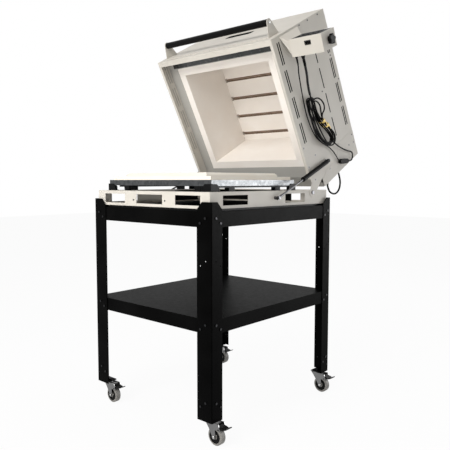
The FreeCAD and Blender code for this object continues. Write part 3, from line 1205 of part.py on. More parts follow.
def build():
    """All nodes by name, with the hood open."""
    nodes = {}
    leg = leg_front_right()
    nodes["leg_front_right"] = [leg]
    nodes["leg_front_left"] = [mirror_x(leg)]
    nodes["leg_rear_right"] = [mirror_y(leg)]
    nodes["leg_rear_left"] = [mirror_x(mirror_y(leg))]
    for name, rail in zip(("front", "rear", "left", "right"), aprons()):
        nodes["apron_" + name] = [rail]
    nodes["shelf_tray"] = [shelf_tray()]
    nodes["stand_bolts"] = stand_bolts()
    nodes["spacer_ring"] = [spacer_ring()]
    nodes["base_frame"] = [base_frame()]
    nodes["pan_supports"] = pan_supports()
    nodes["floor_pan"] = [floor_pan()]
    nodes["floor_slab"] = [floor_slab()]
    nodes["frame_fasteners"] = frame_fasteners()

    front, rear, left, right = chamber_bricks()
    side = casing_side()
    hood = {
        "casing_front": [casing_front()],
        "casing_left": [mirror_x(side)],
        "casing_right": [side],
        "casing_rear": [casing_rear()],
        "casing_roof": [casing_roof()],
        "inner_frame": [inner_frame()],
        "brick_front": [front],
        "brick_rear": [rear],
        "brick_left": [left],
        "brick_right": [right],
        "brick_roof": [roof_brick()],
        "heating_elements": heating_elements(),
        "thermocouple": [thermocouple()],
        "handle_bracket": [handle_bracket()],
        "handle_grip": [handle_grip()],
        "control_bracket": [control_bracket()],
        "control_case": [control_case()],
        "control_face": [control_face()],
        "control_glands": control_glands(),
        "rocker_switch": [rocker_switch()],
        "tilt_knob": [tilt_knob()],
        "hood_fasteners": hood_fasteners(),
        "rear_cable": [rear_cable()],
    }
    for name, shapes in hood.items():
        nodes[name] = [opened(shape) for shape in shapes]

    rod, tube = strut_rod(), strut_cylinder()
    nodes["strut_right_rod"] = [rod]
    nodes["strut_right_cylinder"] = [tube]
    nodes["strut_left_rod"] = [mirror_x(rod)]
    nodes["strut_left_cylinder"] = [mirror_x(tube)]

    for part, shape in (("fork", caster_fork()), ("wheel", caster_wheel()), ("pedal", caster_pedal())):
        for name, dx, dy in (("front_right", 0, 0), ("front_left", -2 * CASTER_X, 0),
                             ("rear_right", 0, 2 * CASTER_Y), ("rear_left", -2 * CASTER_X, 2 * CASTER_Y)):
            nodes["caster_" + name + "_" + part] = [shape.translated(vec(dx, dy, 0))]

    nodes["power_cord"] = [gland_cord("power_cord", CONTROL_GLANDS[1][0], POWER_CORD_ROUTE, POWER_CORD, 44.0)]
    nodes["sensor_lead"] = [gland_cord("sensor_lead", CONTROL_GLANDS[0][0], SENSOR_LEAD_ROUTE, SENSOR_LEAD, 24.0)]
    nodes["cord_hank"] = hank()
    nodes["cord_tail"] = [cord("cord_tail", CORD_TAIL_ROUTE, HANK_CORD)]
    nodes["inline_coupler"] = [inline_coupler()]
    return nodes


def main():
    os.makedirs("parts", exist_ok=True)
    nodes = build()
    box = FreeCAD.BoundBox()
    for name, shapes in nodes.items():
        if name not in CORD_NODES:
            for shape in shapes:
                box.add(shape.optimalBoundingBox(False))
    shift = vec(-(box.XMin + box.XMax) / 2, -(box.YMin + box.YMax) / 2, -box.ZMin)
    print("shift", tuple(shift), "size", box.XLength, box.YLength, box.ZLength)
    for name, shapes in nodes.items():
        save(name, *[shape.translated(shift) for shape in shapes])
    print("nodes", len(nodes))


if __name__ == "__main__":
    main()
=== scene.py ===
"""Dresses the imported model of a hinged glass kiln: finishes, cords, small fittings, camera and light."""

import logging
import math
from dataclasses import dataclass, field
from enum import Enum
from typing import Sequence

import bmesh
import bpy
from mathutils import Matrix, Vector

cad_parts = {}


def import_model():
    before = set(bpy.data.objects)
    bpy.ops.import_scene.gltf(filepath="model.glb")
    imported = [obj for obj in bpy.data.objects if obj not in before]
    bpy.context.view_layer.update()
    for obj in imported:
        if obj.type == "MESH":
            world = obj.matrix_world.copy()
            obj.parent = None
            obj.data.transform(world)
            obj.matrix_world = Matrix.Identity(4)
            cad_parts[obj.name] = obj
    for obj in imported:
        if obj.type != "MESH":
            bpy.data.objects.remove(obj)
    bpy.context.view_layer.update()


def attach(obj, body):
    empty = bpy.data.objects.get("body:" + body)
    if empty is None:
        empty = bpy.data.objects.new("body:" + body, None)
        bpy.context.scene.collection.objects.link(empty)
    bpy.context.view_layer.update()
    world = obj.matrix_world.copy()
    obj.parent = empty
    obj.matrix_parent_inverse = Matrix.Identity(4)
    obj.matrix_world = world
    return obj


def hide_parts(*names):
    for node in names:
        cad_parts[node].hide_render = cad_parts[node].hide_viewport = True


log = logging.getLogger("kiln")

Point = tuple[float, float, float]
Colour = tuple[float, float, float]
Stops = Sequence[tuple[float, Colour]]
Profile = Sequence[tuple[float, float]]
Socket = bpy.types.NodeSocket
Material = bpy.types.Material
Piece = bpy.types.Object
Shape = bmesh.types.BMesh

# From the CAD drawing's own axes to the row frame, in metres.
ORIGIN_SHIFT = Vector((-0.09615, -0.14479344, 0.020))
HINGE_Y = 0.291
HINGE_Z = 0.9795
OPEN_ANGLE = math.radians(61.7)
# Largest angle between two faces that is shaded smooth, in radians.
SMOOTH_ANGLE = 0.6


def placed(x: float, y: float, z: float) -> Vector:
    """Turn drawing coordinates in millimetres into a point of the row frame."""
    return Vector((x, y, z)) / 1000.0 + ORIGIN_SHIFT


def on_hood(x: float, y: float, z: float) -> Vector:
    """Give the place in the open pose of a point on the closed hood.

    Args:
        x: Millimetres to the right of the middle.
        y: Millimetres behind the hinge line, with the hood closed.
        z: Millimetres above the hinge line, with the hood closed.

    Returns:
        The point in the row frame with the hood open.
    """
    back = y * math.cos(OPEN_ANGLE) + z * math.sin(OPEN_ANGLE)
    up = -y * math.sin(OPEN_ANGLE) + z * math.cos(OPEN_ANGLE)
    return placed(x, HINGE_Y * 1000 + back, HINGE_Z * 1000 + up)


def hood_frame() -> Matrix:
    """Give the matrix from the closed hood's own axes, in metres from the hinge, to the open pose."""
    return Matrix.Translation(placed(0, HINGE_Y * 1000, HINGE_Z * 1000)) @ Matrix.Rotation(-OPEN_ANGLE, 4, "X")


class Body(Enum):
    """Bodies that the dressed pieces ride on."""

    STAND = "stand"
    HOOD = "hood"
    CONTROL = "control_box"


def add_node(tree: bpy.types.NodeTree, kind: str, **values: object) -> bpy.types.Node:
    """Add a node and set its properties or input values.

    Args:
        tree: Node tree that it is added to.
        kind: Blender's name of the node type.
        **values: Properties by name, or inputs by name with spaces as underscores.

    Returns:
        The new node.
    """
    node = tree.nodes.new(kind)
    for key, value in values.items():
        if hasattr(node, key):
            setattr(node, key, value)
        else:
            node.inputs[key.replace("_", " ")].default_value = value
    return node


class NodeGraph:
    """Small helper that builds one material's node tree."""

    def __init__(self, name: str) -> None:
        """Start a material with an empty tree and a Principled shader.

        Args:
            name: Name of the material.
        """
        self.material = bpy.data.materials.new(name)
        self.material.use_nodes = True
        self.tree = self.material.node_tree
        self.shader = self.tree.nodes["Principled BSDF"]
        self.place = self.add("ShaderNodeTexCoord").outputs["Object"]

    def add(self, kind: str, **values: object) -> bpy.types.Node:
        """Add a node to this material."""
        return add_node(self.tree, kind, **values)

    def link(self, start: Socket, end: Socket) -> None:
        """Join an output to an input."""
        self.tree.links.new(start, end)

    def stretched(self, stretch: Point) -> Socket:
        """Give the place on the object, scaled along each axis."""
        mapping = self.add("ShaderNodeMapping", Scale=stretch)
        self.link(self.place, mapping.inputs["Vector"])
        return mapping.outputs["Vector"]

    def noise(self, scale: float, detail: float = 3.0, stretch: Point = (1, 1, 1)) -> Socket:
        """Make a noise pattern in object space.

        Args:
            scale: Spots per metre.
            detail: Octaves of the noise.
            stretch: Scale along each axis.

        Returns:
            The pattern's factor output.
        """
        texture = self.add("ShaderNodeTexNoise", Scale=scale, Detail=detail)
        self.link(self.stretched(stretch), texture.inputs["Vector"])
        return texture.outputs["Fac"]

    def cells(self, scale: float) -> Socket:
        """Make a cell pattern in object space.

        Args:
            scale: Cells per metre.

        Returns:
            The pattern's distance output.
        """
        texture = self.add("ShaderNodeTexVoronoi", Scale=scale)
        self.link(self.place, texture.inputs["Vector"])
        return texture.outputs["Distance"]

    def ramp(self, source: Socket, stops: Stops) -> Socket:
        """Colour a pattern.

        Args:
            source: Factor to be coloured.
            stops: Positions from 0 to 1, each with its colour.

        Returns:
            The colour output.
        """
        node = self.add("ShaderNodeValToRGB")
        elements = node.color_ramp.elements
        while len(elements) < len(stops):
            elements.new(0.5)
        for element, (position, colour) in zip(elements, stops):
            element.position = position
            element.color = (*colour, 1.0)
        self.link(source, node.inputs["Fac"])
        return node.outputs["Color"]

    def span(self, source: Socket, low: float, high: float,
             from_low: float = 0.0, from_high: float = 1.0) -> Socket:
        """Map a factor from one range to another.

        Args:
            source: Factor to be mapped.
            low: Result at from_low.
            high: Result at from_high.
            from_low: Low end of the source's range.
            from_high: High end of the source's range.

        Returns:
            The mapped factor's output.
        """
        node = self.add("ShaderNodeMapRange")
        ends = {"From Min": from_low, "From Max": from_high, "To Min": low, "To Max": high}
        for name, value in ends.items():
            node.inputs[name].default_value = value
        self.link(source, node.inputs["Value"])
        return node.outputs["Result"]

    def bump(self, source: Socket, strength: float, distance: float,
             after: Socket | None = None) -> Socket:
        """Raise the surface by a pattern.

        Args:
            source: Height pattern.
            strength: Share of the height that shows.
            distance: Height in metres.
            after: Normal output of an earlier bump, if any.

        Returns:
            The new normal output, which is also linked to the shader.
        """
        node = self.add("ShaderNodeBump", Strength=strength, Distance=distance)
        self.link(source, node.inputs["Height"])
        if after is not None:
            self.link(after, node.inputs["Normal"])
        self.link(node.outputs["Normal"], self.shader.inputs["Normal"])
        return node.outputs["Normal"]

    def colour_by(self, source: Socket, stops: Stops) -> None:
        """Colour the surface by a pattern."""
        self.link(self.ramp(source, stops), self.shader.inputs["Base Color"])

    def roughen(self, source: Socket, low: float, high: float) -> None:
        """Let the roughness follow a pattern between two values."""
        self.link(self.span(source, low, high), self.shader.inputs["Roughness"])

    def set(self, **values: object) -> None:
        """Set values on the shader's own sockets."""
        for key, value in values.items():
            self.shader.inputs[key.replace("_", " ")].default_value = value


def shown(name: str, data: bpy.types.ID) -> Piece:
    """Make an object from its data and add it to the scene."""
    obj = bpy.data.objects.new(name, data)
    bpy.context.scene.collection.objects.link(obj)
    return obj


def mixed(a: Colour, b: Colour, share: float) -> Colour:
    """Blend two colours."""
    return tuple(x + (y - x) * share for x, y in zip(a, b))


@dataclass(frozen=True)
class Finish:
    """A kind of surface that is built from a few values."""

    name: str
    colour: Colour

    def build(self) -> Material:
        """Build the material.

        Returns:
            The new material.
        """
        graph = NodeGraph(self.name)
        self.fill(graph)
        return graph.material

    def fill(self, graph: NodeGraph) -> None:
        """Fill in the node tree; each kind of surface has its own."""
        raise NotImplementedError


@dataclass(frozen=True)
class PowderCoat(Finish):
    """Baked powder paint on sheet steel, with fine orange peel and faint handling marks."""

    roughness: float = 0.42
    peel: float = 0.25
    drift: float = 0.06
    shine: float = 0.45

    def fill(self, graph: NodeGraph) -> None:
        """Build the paint."""
        broad = graph.noise(5.0, 2.0)
        lighter = mixed(self.colour, (1, 1, 1), self.drift)
        darker = mixed(self.colour, (0, 0, 0), self.drift)
        graph.colour_by(broad, ((0.3, darker), (0.7, lighter)))
        marks = graph.noise(60.0, 6.0)
        graph.roughen(marks, self.roughness - 0.06, self.roughness + 0.08)
        fine = graph.noise(900.0, 2.0)
        graph.bump(fine, self.peel, 0.00012)
        graph.set(Specular_IOR_Level=self.shine)


@dataclass(frozen=True)
class Firebrick(Finish):
    """Soft insulating brick or fibre board: chalky, finely pored, slightly warm."""

    pores: float = 0.35

    def fill(self, graph: NodeGraph) -> None:
        """Build the brick."""
        cloud = graph.noise(9.0, 4.0)
        warm = mixed(self.colour, (0.70, 0.55, 0.42), 0.10)
        pale = mixed(self.colour, (1, 1, 1), 0.25)
        graph.colour_by(cloud, ((0.25, warm), (0.6, self.colour), (0.85, pale)))
        grain = graph.noise(420.0, 5.0)
        pits = graph.cells(260.0)
        first = graph.bump(grain, self.pores, 0.0005)
        graph.bump(graph.span(pits, 0.0, 1.0, 0.0, 0.12), 0.12, 0.0006, after=first)
        graph.set(Roughness=0.95, Specular_IOR_Level=0.2)


@dataclass(frozen=True)
class Galvanised(Finish):
    """Zinc-coated sheet with a crystal pattern."""

    roughness: float = 0.38
    contrast: float = 0.1

    def fill(self, graph: NodeGraph) -> None:
        """Build the zinc coat."""
        spangle = graph.add("ShaderNodeTexVoronoi", Scale=95.0)
        graph.link(graph.place, spangle.inputs["Vector"])
        split = graph.add("ShaderNodeSeparateColor")
        graph.link(spangle.outputs["Color"], split.inputs["Color"])
        dark = mixed(self.colour, (0, 0, 0), self.contrast)
        light = mixed(self.colour, (1, 1, 1), self.contrast * 0.6)
        graph.colour_by(split.outputs["Red"], ((0.0, dark), (1.0, light)))
        graph.roughen(split.outputs["Green"], self.roughness - 0.04, self.roughness + 0.05)
        graph.bump(graph.noise(300.0, 4.0), 0.15, 0.0002)
        graph.set(Metallic=0.85)


@dataclass(frozen=True)
class BareMetal(Finish):
    """Plated, brushed or polished metal with fine lines along one axis."""

    roughness: float
    lines: Point = (1, 1, 1)
    line_depth: float = 0.1

    def fill(self, graph: NodeGraph) -> None:
        """Build the metal."""
        streak = graph.noise(260.0, 3.0, self.lines)
        dark = mixed(self.colour, (0, 0, 0), 0.18)
        graph.colour_by(streak, ((0.3, dark), (0.7, self.colour)))
        graph.roughen(streak, self.roughness * 0.75, self.roughness * 1.3)
        graph.bump(streak, self.line_depth, 0.0001)
        graph.set(Metallic=1.0)


@dataclass(frozen=True)
class Moulded(Finish):
    """Moulded plastic or rubber with a fine grain."""

    roughness: float = 0.5
    grain: float = 0.2
    grain_scale: float = 1400.0
    shine: float = 0.4

    def fill(self, graph: NodeGraph) -> None:
        """Build the moulding."""
        broad = graph.noise(40.0, 4.0)
        lighter = tuple(part * 1.35 for part in self.colour)
        graph.colour_by(broad, ((0.35, self.colour), (0.75, lighter)))
        graph.roughen(broad, self.roughness - 0.05, self.roughness + 0.08)
        graph.bump(graph.noise(self.grain_scale, 2.0), self.grain, 0.0001)
        graph.set(Specular_IOR_Level=self.shine)


@dataclass(frozen=True)
class Braid(Finish):
    """Woven sleeve: two crossing sets of fine ribs."""

    def fill(self, graph: NodeGraph) -> None:
        """Build the weave."""
        lighter = tuple(part * 1.5 for part in self.colour)
        graph.colour_by(graph.noise(60.0), ((0.35, self.colour), (0.7, lighter)))
        graph.roughen(graph.noise(90.0), 0.5, 0.7)
        graph.set(Specular_IOR_Level=0.25)
        normal = None
        for lean in ((1, 1, 1), (1, -1, 1)):
            wave = graph.add("ShaderNodeTexWave", bands_direction="DIAGONAL", Scale=260.0)
            graph.link(graph.stretched(lean), wave.inputs["Vector"])
            normal = graph.bump(wave.outputs["Fac"], 0.4, 0.0004, after=normal)


class Finishes:
    """Every finish of the kiln, built once."""

    def __init__(self) -> None:
        """Build the finishes."""
        self.stand_paint = PowderCoat("stand_black", (0.0007, 0.0007, 0.0007), 0.42, 0.5, 0.002, 0.015).build()
        self.cream_paint = PowderCoat("casing_cream", (0.60, 0.568, 0.512), 0.45, shine=0.12).build()
        self.black_steel = PowderCoat("bracket_black", (0.003, 0.003, 0.0032), 0.42, 0.3, 0.005, 0.06).build()
        self.strut_paint = PowderCoat("strut_black", (0.0015, 0.0015, 0.0015), 0.3, 0.1, 0.003, 0.03).build()
        self.inner_sheet = PowderCoat("inner_sheet", (0.40, 0.39, 0.365), 0.5, 0.2, 0.03, 0.2).build()
        self.pan_sheet = Galvanised("pan_sheet", (0.055, 0.058, 0.061), 0.34, 0.06).build()
        self.brick = Firebrick("chamber_brick", (0.88, 0.835, 0.785)).build()
        self.board = Firebrick("floor_board", (0.83, 0.79, 0.72), pores=0.25).build()
        self.element = Moulded("element_sheath", (0.27, 0.20, 0.15), 0.6, 0.3, 500.0, 0.3).build()
        # Painted shade in brown along the element grooves and round their end sockets.
        self.groove_shade = Moulded("groove_painted_shade", (0.20, 0.135, 0.095), 0.95, 0.4, 500.0, 0.05).build()
        # Painted shade for the shaded channel between the front panel and the bricks.
        self.front_shade = PowderCoat("rim_painted_shade", (0.010, 0.012, 0.012), 0.25, 0.4, 0.03, 0.5).build()
        self.bolt_zinc = BareMetal("bolt_zinc", (0.50, 0.50, 0.49), 0.35).build()
        self.fork_zinc = BareMetal("fork_zinc", (0.21, 0.21, 0.21), 0.3).build()
        self.dark_bolt = BareMetal("dark_bolt", (0.10, 0.10, 0.105), 0.4).build()
        self.black_bolt = BareMetal("black_bolt", (0.028, 0.028, 0.03), 0.45).build()
        self.rod_steel = BareMetal("rod_chrome", (0.07, 0.07, 0.073), 0.3, line_depth=0.02).build()
        self.grip = Moulded("grip_black", (0.0025, 0.0025, 0.0025), 0.3, 0.1, shine=0.07).build()
        self.rubber = Moulded("cord_rubber", (0.0015, 0.0015, 0.0015), 0.5, 0.15, shine=0.05).build()
        self.sleeve = Braid("cord_sleeve", (0.004, 0.004, 0.004)).build()
        self.plastic = Moulded("knob_black", (0.003, 0.003, 0.003), 0.35, 0.15, shine=0.1).build()
        self.face = Moulded("face_dark", (0.006, 0.006, 0.007), 0.4, 0.1, shine=0.1).build()
        self.tread = Moulded("wheel_tread", (0.20, 0.193, 0.18), 0.5, 0.3, 700.0, 0.3).build()
        self.hub = Moulded("wheel_hub", (0.004, 0.004, 0.004), 0.5, 0.2, shine=0.06).build()
        self.tie = Moulded("tie_yellow", (0.90, 0.66, 0.20), 0.5, 0.2).build()
        # Painted shade for the slots of the left side panel.
        self.screen = Moulded("painted_slot_shade", (0.27, 0.262, 0.24), 0.8, 0.3, shine=0.05).build()
        # Painted shade: near black, for sheets and plates set in openings and behind windows where only shade
        # lies.
        self.dark = Moulded("painted_shade_dark", (0.004, 0.004, 0.004), 0.9, 0.3, shine=0.02).build()


def dress(material: Material, *nodes: str) -> None:
    """Give every slot of some CAD nodes one finish.

    Args:
        material: Finish to be given.
        *nodes: Names of the CAD nodes.
    """
    for obj in (bpy.data.objects[node] for node in nodes):
        if not obj.data.materials:
            obj.data.materials.append(material)
        for slot in obj.material_slots:
            slot.link = "OBJECT"
            slot.material = material


class Workshop:
    """Makes mesh and curve pieces and lists them for the log."""

    def __init__(self) -> None:
        """Start with no pieces."""
        self.made: list[str] = []

    def piece(self, name: str, shape: Shape, material: Material,
              body: str = Body.HOOD.value) -> Piece:
        """Turn a mesh under construction into a piece that rides on a body.

        Args:
            name: Name of the piece.
            shape: Mesh under construction, which is freed.
            material: Finish of the piece.
            body: Name of the body that it rides on.

        Returns:
            The new object.
        """
        mesh = bpy.data.meshes.new(name)
        bmesh.ops.recalc_face_normals(shape, faces=shape.faces[:])
        shape.to_mesh(mesh)
        shape.free()
        mesh.materials.append(material)
        mesh.shade_smooth()
        mesh.set_sharp_from_angle(angle=SMOOTH_ANGLE)
        obj = shown(name, mesh)
        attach(obj, body)
        self.made.append(name)
        return obj

    def curve(self, name: str, points: Sequence[Vector], radius: float,
              material: Material) -> Piece:
        """Make a round cord along a smooth line, riding on the hood.

        Args:
            name: Name of the piece.
            points: Control points of the line, in the row frame.
            radius: Half the cord's thickness in metres.
            material: Finish of the cord.

        Returns:
            The new curve object.
        """
        data = bpy.data.curves.new(name, "CURVE")
        data.dimensions = "3D"
        spline = data.splines.new("NURBS")
        spline.points.add(len(points) - 1)
        for target, spot in zip(spline.points, points):
            target.co = (*spot, 1.0)
        spline.order_u = 3
        spline.use_endpoint_u = True
        spline.resolution_u = 10
        data.bevel_depth = radius
        data.bevel_resolution = 4
        data.use_fill_caps = True
        data.materials.append(material)
        obj = shown(name, data)
        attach(obj, Body.HOOD.value)
        self.made.append(name)
        return obj


def lathe(profile: Profile, place: Vector, along: Vector, steps: int = 32, closed: bool = False) -> Shape:
    """Turn a profile about an axis.

    Args:
        profile: Pairs of distance along the axis and radius, in metres.
        place: Point of the axis at distance 0.
        along: Direction of the axis.
        steps: Number of sides.
        closed: Whether the profile goes back to its start, which gives a ring.

    Returns:
        A closed mesh under construction.
    """
    shape = bmesh.new()
    turn = along.to_track_quat("Z", "Y").to_matrix()
    rings = []
    for distance, radius in profile:
        if radius < 1e-6:
            rings.append([shape.verts.new(place + turn @ Vector((0, 0, distance)))])
            continue
        ring = []
        for number in range(steps):
            angle = 2 * math.pi * number / steps
            spot = Vector((radius * math.cos(angle), radius * math.sin(angle), distance))
            ring.append(shape.verts.new(place + turn @ spot))
        rings.append(ring)
    followers = [*rings[1:], rings[0]] if closed else rings[1:]
    for first, second in zip(rings, followers):
        for number in range(steps):
            following = (number + 1) % steps
            corners = []
            for ring, index in ((first, number), (first, following), (second, following), (second, number)):
                vert = ring[index % len(ring)]
                if vert not in corners:
                    corners.append(vert)
            if len(corners) > 2:
                shape.faces.new(corners)
    for ring in () if closed else (rings[0], rings[-1]):
        if len(ring) > 2:
            shape.faces.new(ring)
    return shape


def joined(shape: Shape, rings: Sequence[Sequence[bmesh.types.BMVert]], closed: bool = False) -> None:
    """Join neighbouring rings of points with four-sided faces.

    Args:
        shape: Mesh under construction.
        rings: Rings with the same number of points.
        closed: Whether the last ring is joined to the first.
    """
    followers = [*rings[1:], rings[0]] if closed else rings[1:]
    for first, second in zip(rings, followers):
        for index in range(len(first)):
            following = (index + 1) % len(first)
            shape.faces.new((first[index], first[following], second[following], second[index]))


def rounded_block(low: Point, high: Point, bevel: float, segments: int = 2) -> Shape:
    """Make a block with rounded edges.

    Args:
        low: Its low corner in metres.
        high: Its high corner in metres.
        bevel: Width of its rounded edges.
        segments: Number of faces across an edge.

    Returns:
        A closed mesh under construction.
    """
    shape = bmesh.new()
    bmesh.ops.create_cube(shape, size=1.0)
    size = Vector(high) - Vector(low)
    middle = (Vector(high) + Vector(low)) / 2
    bmesh.ops.scale(shape, vec=size, verts=shape.verts)
    bmesh.ops.bevel(shape, geom=shape.edges[:], offset=bevel, segments=segments, profile=0.7, affect="EDGES")
    bmesh.ops.translate(shape, vec=middle, verts=shape.verts)
    return shape


@dataclass
class View:
    """Camera, light, floor and backdrop."""

    spot: Point = (1.84858, -1.99933, 1.035)
    yaw: float = 0.72972
    pitch: float = 0.07816
    roll: float = 0.00029
    focal_pixels: float = 564.78
    picture_pixels: float = 450.0
    room_light: float = 0.36
    floor_half: float = 14.0
    floor_glow: float = 0.94

    def camera(self) -> None:
        """Set up the camera at the photograph's place and angle."""
        data = bpy.data.cameras.new("view")
        data.sensor_width = 36.0
        data.lens = self.focal_pixels / self.picture_pixels * data.sensor_width
        data.clip_end = 60.0
        camera = shown("view", data)
        flat = Vector((-math.sin(self.yaw), math.cos(self.yaw), 0))
        right = Vector((math.cos(self.yaw), math.sin(self.yaw), 0))
        up = Vector((0, 0, 1))
        ahead = flat * math.cos(self.pitch) - up * math.sin(self.pitch)
        above = up * math.cos(self.pitch) + flat * math.sin(self.pitch)
        side = right * math.cos(self.roll) + above * math.sin(self.roll)
        above = above * math.cos(self.roll) - right * math.sin(self.roll)
        turn = Matrix((side, above, -ahead)).transposed().to_4x4()
        camera.matrix_world = Matrix.Translation(Vector(self.spot) + ORIGIN_SHIFT) @ turn
        bpy.context.scene.camera = camera

    def lamp(self, name: str, spot: Point, size: float, power: float, colour: Colour = (1, 1, 1),
             target: Point = (0.0, 0.1, 1.1), mirrored: bool = True, spread: bool = True) -> None:
        """Add a square soft lamp that faces a target point.

        Args:
            name: Name of the lamp.
            spot: Its place.
            size: Length of its sides.
            power: Its strength in watts.
            colour: Its colour.
            target: Point that it faces.
            mirrored: Whether glossy surfaces mirror it.
            spread: Whether matt surfaces are lit by it.
        """
        data = bpy.data.lights.new(name, "AREA")
        data.shape = "SQUARE"
        data.size = size
        data.energy = power
        data.color = colour
        lamp = shown(name, data)
        lamp.location = spot
        lamp.visible_glossy = mirrored
        lamp.visible_diffuse = spread
        lamp.rotation_euler = (Vector(target) - Vector(spot)).to_track_quat("-Z", "Y").to_euler()

    def seen_directly(self, tree: bpy.types.NodeTree) -> Socket:
        """Give a factor that is 1 for rays from the camera and those that a surface mirrors or lets through.

        Args:
            tree: Node tree that the factor is added to.

        Returns:
            The factor's output.
        """
        path = tree.nodes.new("ShaderNodeLightPath")
        total = path.outputs["Is Camera Ray"]
        for name in ("Is Glossy Ray", "Is Transmission Ray"):
            plus = add_node(tree, "ShaderNodeMath", operation="ADD", use_clamp=True)
            tree.links.new(total, plus.inputs[0])
            tree.links.new(path.outputs[name], plus.inputs[1])
            total = plus.outputs["Value"]
        return total

    def world(self) -> None:
        """Light the room evenly and show plain white behind the kiln."""
        world = bpy.data.worlds.new("room")
        world.use_nodes = True
        bpy.context.scene.world = world
        nodes, links = world.node_tree.nodes, world.node_tree.links
        output = nodes["World Output"]
        soft = nodes["Background"]
        soft.inputs["Color"].default_value = (1, 1, 1, 1)
        soft.inputs["Strength"].default_value = self.room_light
        seen = add_node(world.node_tree, "ShaderNodeBackground", Color=(1, 1, 1, 1), Strength=1.0)
        mix = nodes.new("ShaderNodeMixShader")
        links.new(self.seen_directly(world.node_tree), mix.inputs["Fac"])
        links.new(soft.outputs["Background"], mix.inputs[1])
        links.new(seen.outputs["Background"], mix.inputs[2])
        links.new(mix.outputs["Shader"], output.inputs["Surface"])

    def floor(self) -> None:
        """Lay a pale floor that keeps the kiln's soft shadow."""
        shape = bmesh.new()
        bmesh.ops.create_grid(shape, x_segments=1, y_segments=1, size=self.floor_half)
        mesh = bpy.data.meshes.new("floor")
        shape.to_mesh(mesh)
        shape.free()
        floor = shown("floor", mesh)
        floor.location = (0, 0, -0.0005)
        material = bpy.data.materials.new("floor_pale")
        material.use_nodes = True
        nodes, links = material.node_tree.nodes, material.node_tree.links
        shader = nodes["Principled BSDF"]
        shader.inputs["Base Color"].default_value = (0.86, 0.86, 0.86, 1)
        shader.inputs["Roughness"].default_value = 0.9
        glow = add_node(material.node_tree, "ShaderNodeEmission", Color=(1, 1, 1, 1), Strength=1.0)
        share = add_node(material.node_tree, "ShaderNodeMath", operation="MULTIPLY")
        share.inputs[1].default_value = self.floor_glow
        mix = nodes.new("ShaderNodeMixShader")
        links.new(self.seen_directly(material.node_tree), share.inputs[0])
        links.new(share.outputs["Value"], mix.inputs["Fac"])
        links.new(shader.outputs["BSDF"], mix.inputs[1])
        links.new(glow.outputs["Emission"], mix.inputs[2])
        links.new(mix.outputs["Shader"], nodes["Material Output"].inputs["Surface"])
        mesh.materials.append(material)

    def build(self) -> None:
        """Build the whole stage."""
        self.camera()
        self.world()
        self.floor()
        self.lamp("key", (0.3, -3.7, 3.4), 2.2, 135.0, (1.0, 0.985, 0.96), (0.0, 0.1, 1.3))
        self.lamp("low", (-0.2, -3.2, 0.6), 1.8, 32.0, (1.0, 0.985, 0.96), (-0.1, 0.0, 1.45), mirrored=False)
        self.lamp("side", (3.4, -1.0, 1.9), 2.0, 10.0, (0.97, 0.985, 1.0), mirrored=False)
        self.lamp("rim", (0.5, 3.2, 3.4), 2.0, 45.0)
        self.lamp("sheen", (2.9, 2.8, 1.1), 1.8, 150.0, (1.0, 1.0, 1.0), (0.25, -0.1, 0.95), spread=False)
        bpy.context.scene.view_settings.view_transform = "Standard"


def moved(shape: Shape, matrix: Matrix) -> Shape:
    """Move a mesh under construction by a matrix and give it back."""
    bmesh.ops.transform(shape, matrix=matrix, verts=shape.verts)
    return shape


def swept(line: Sequence[Vector], radii: Sequence[float], sides: int = 12) -> Shape:
    """Make a round tube along points, with a radius for each.

    Args:
        line: Points along the middle of the tube.
        radii: Radius at each point.
        sides: Number of sides.

    Returns:
        A closed mesh under construction.
    """
    shape = bmesh.new()
    ahead = (line[1] - line[0]).normalized()
    across = ahead.orthogonal().normalized()
    rings = []
    for number, spot in enumerate(line):
        before, after = line[max(number - 1, 0)], line[min(number + 1, len(line) - 1)]
        turned_to = (after - before).normalized()
        across = (ahead.rotation_difference(turned_to) @ across).normalized()
        ahead = turned_to
        up = ahead.cross(across)
        ring = []
        for side in range(sides):
            angle = 2 * math.pi * side / sides
            outwards = across * math.cos(angle) + up * math.sin(angle)
            ring.append(shape.verts.new(spot + outwards * radii[number]))
        rings.append(ring)
    joined(shape, rings)
    shape.faces.new(rings[0])
    shape.faces.new(rings[-1])
    return shape


def line_of(curve: Piece) -> list[Vector]:
    """Read the points of a curve's own line, with its thickness left out.

    Args:
        curve: Curve that is read.

    Returns:
        The points along its line.
    """
    data = curve.data.copy()
    data.bevel_depth = 0.0
    bare = shown("bare_line", data)
    bpy.context.view_layer.update()
    mesh = bpy.data.meshes.new_from_object(bare)
    points = [vertex.co.copy() for vertex in mesh.vertices]
    bpy.data.objects.remove(bare)
    bpy.data.curves.remove(data)
    bpy.data.meshes.remove(mesh)
    return points


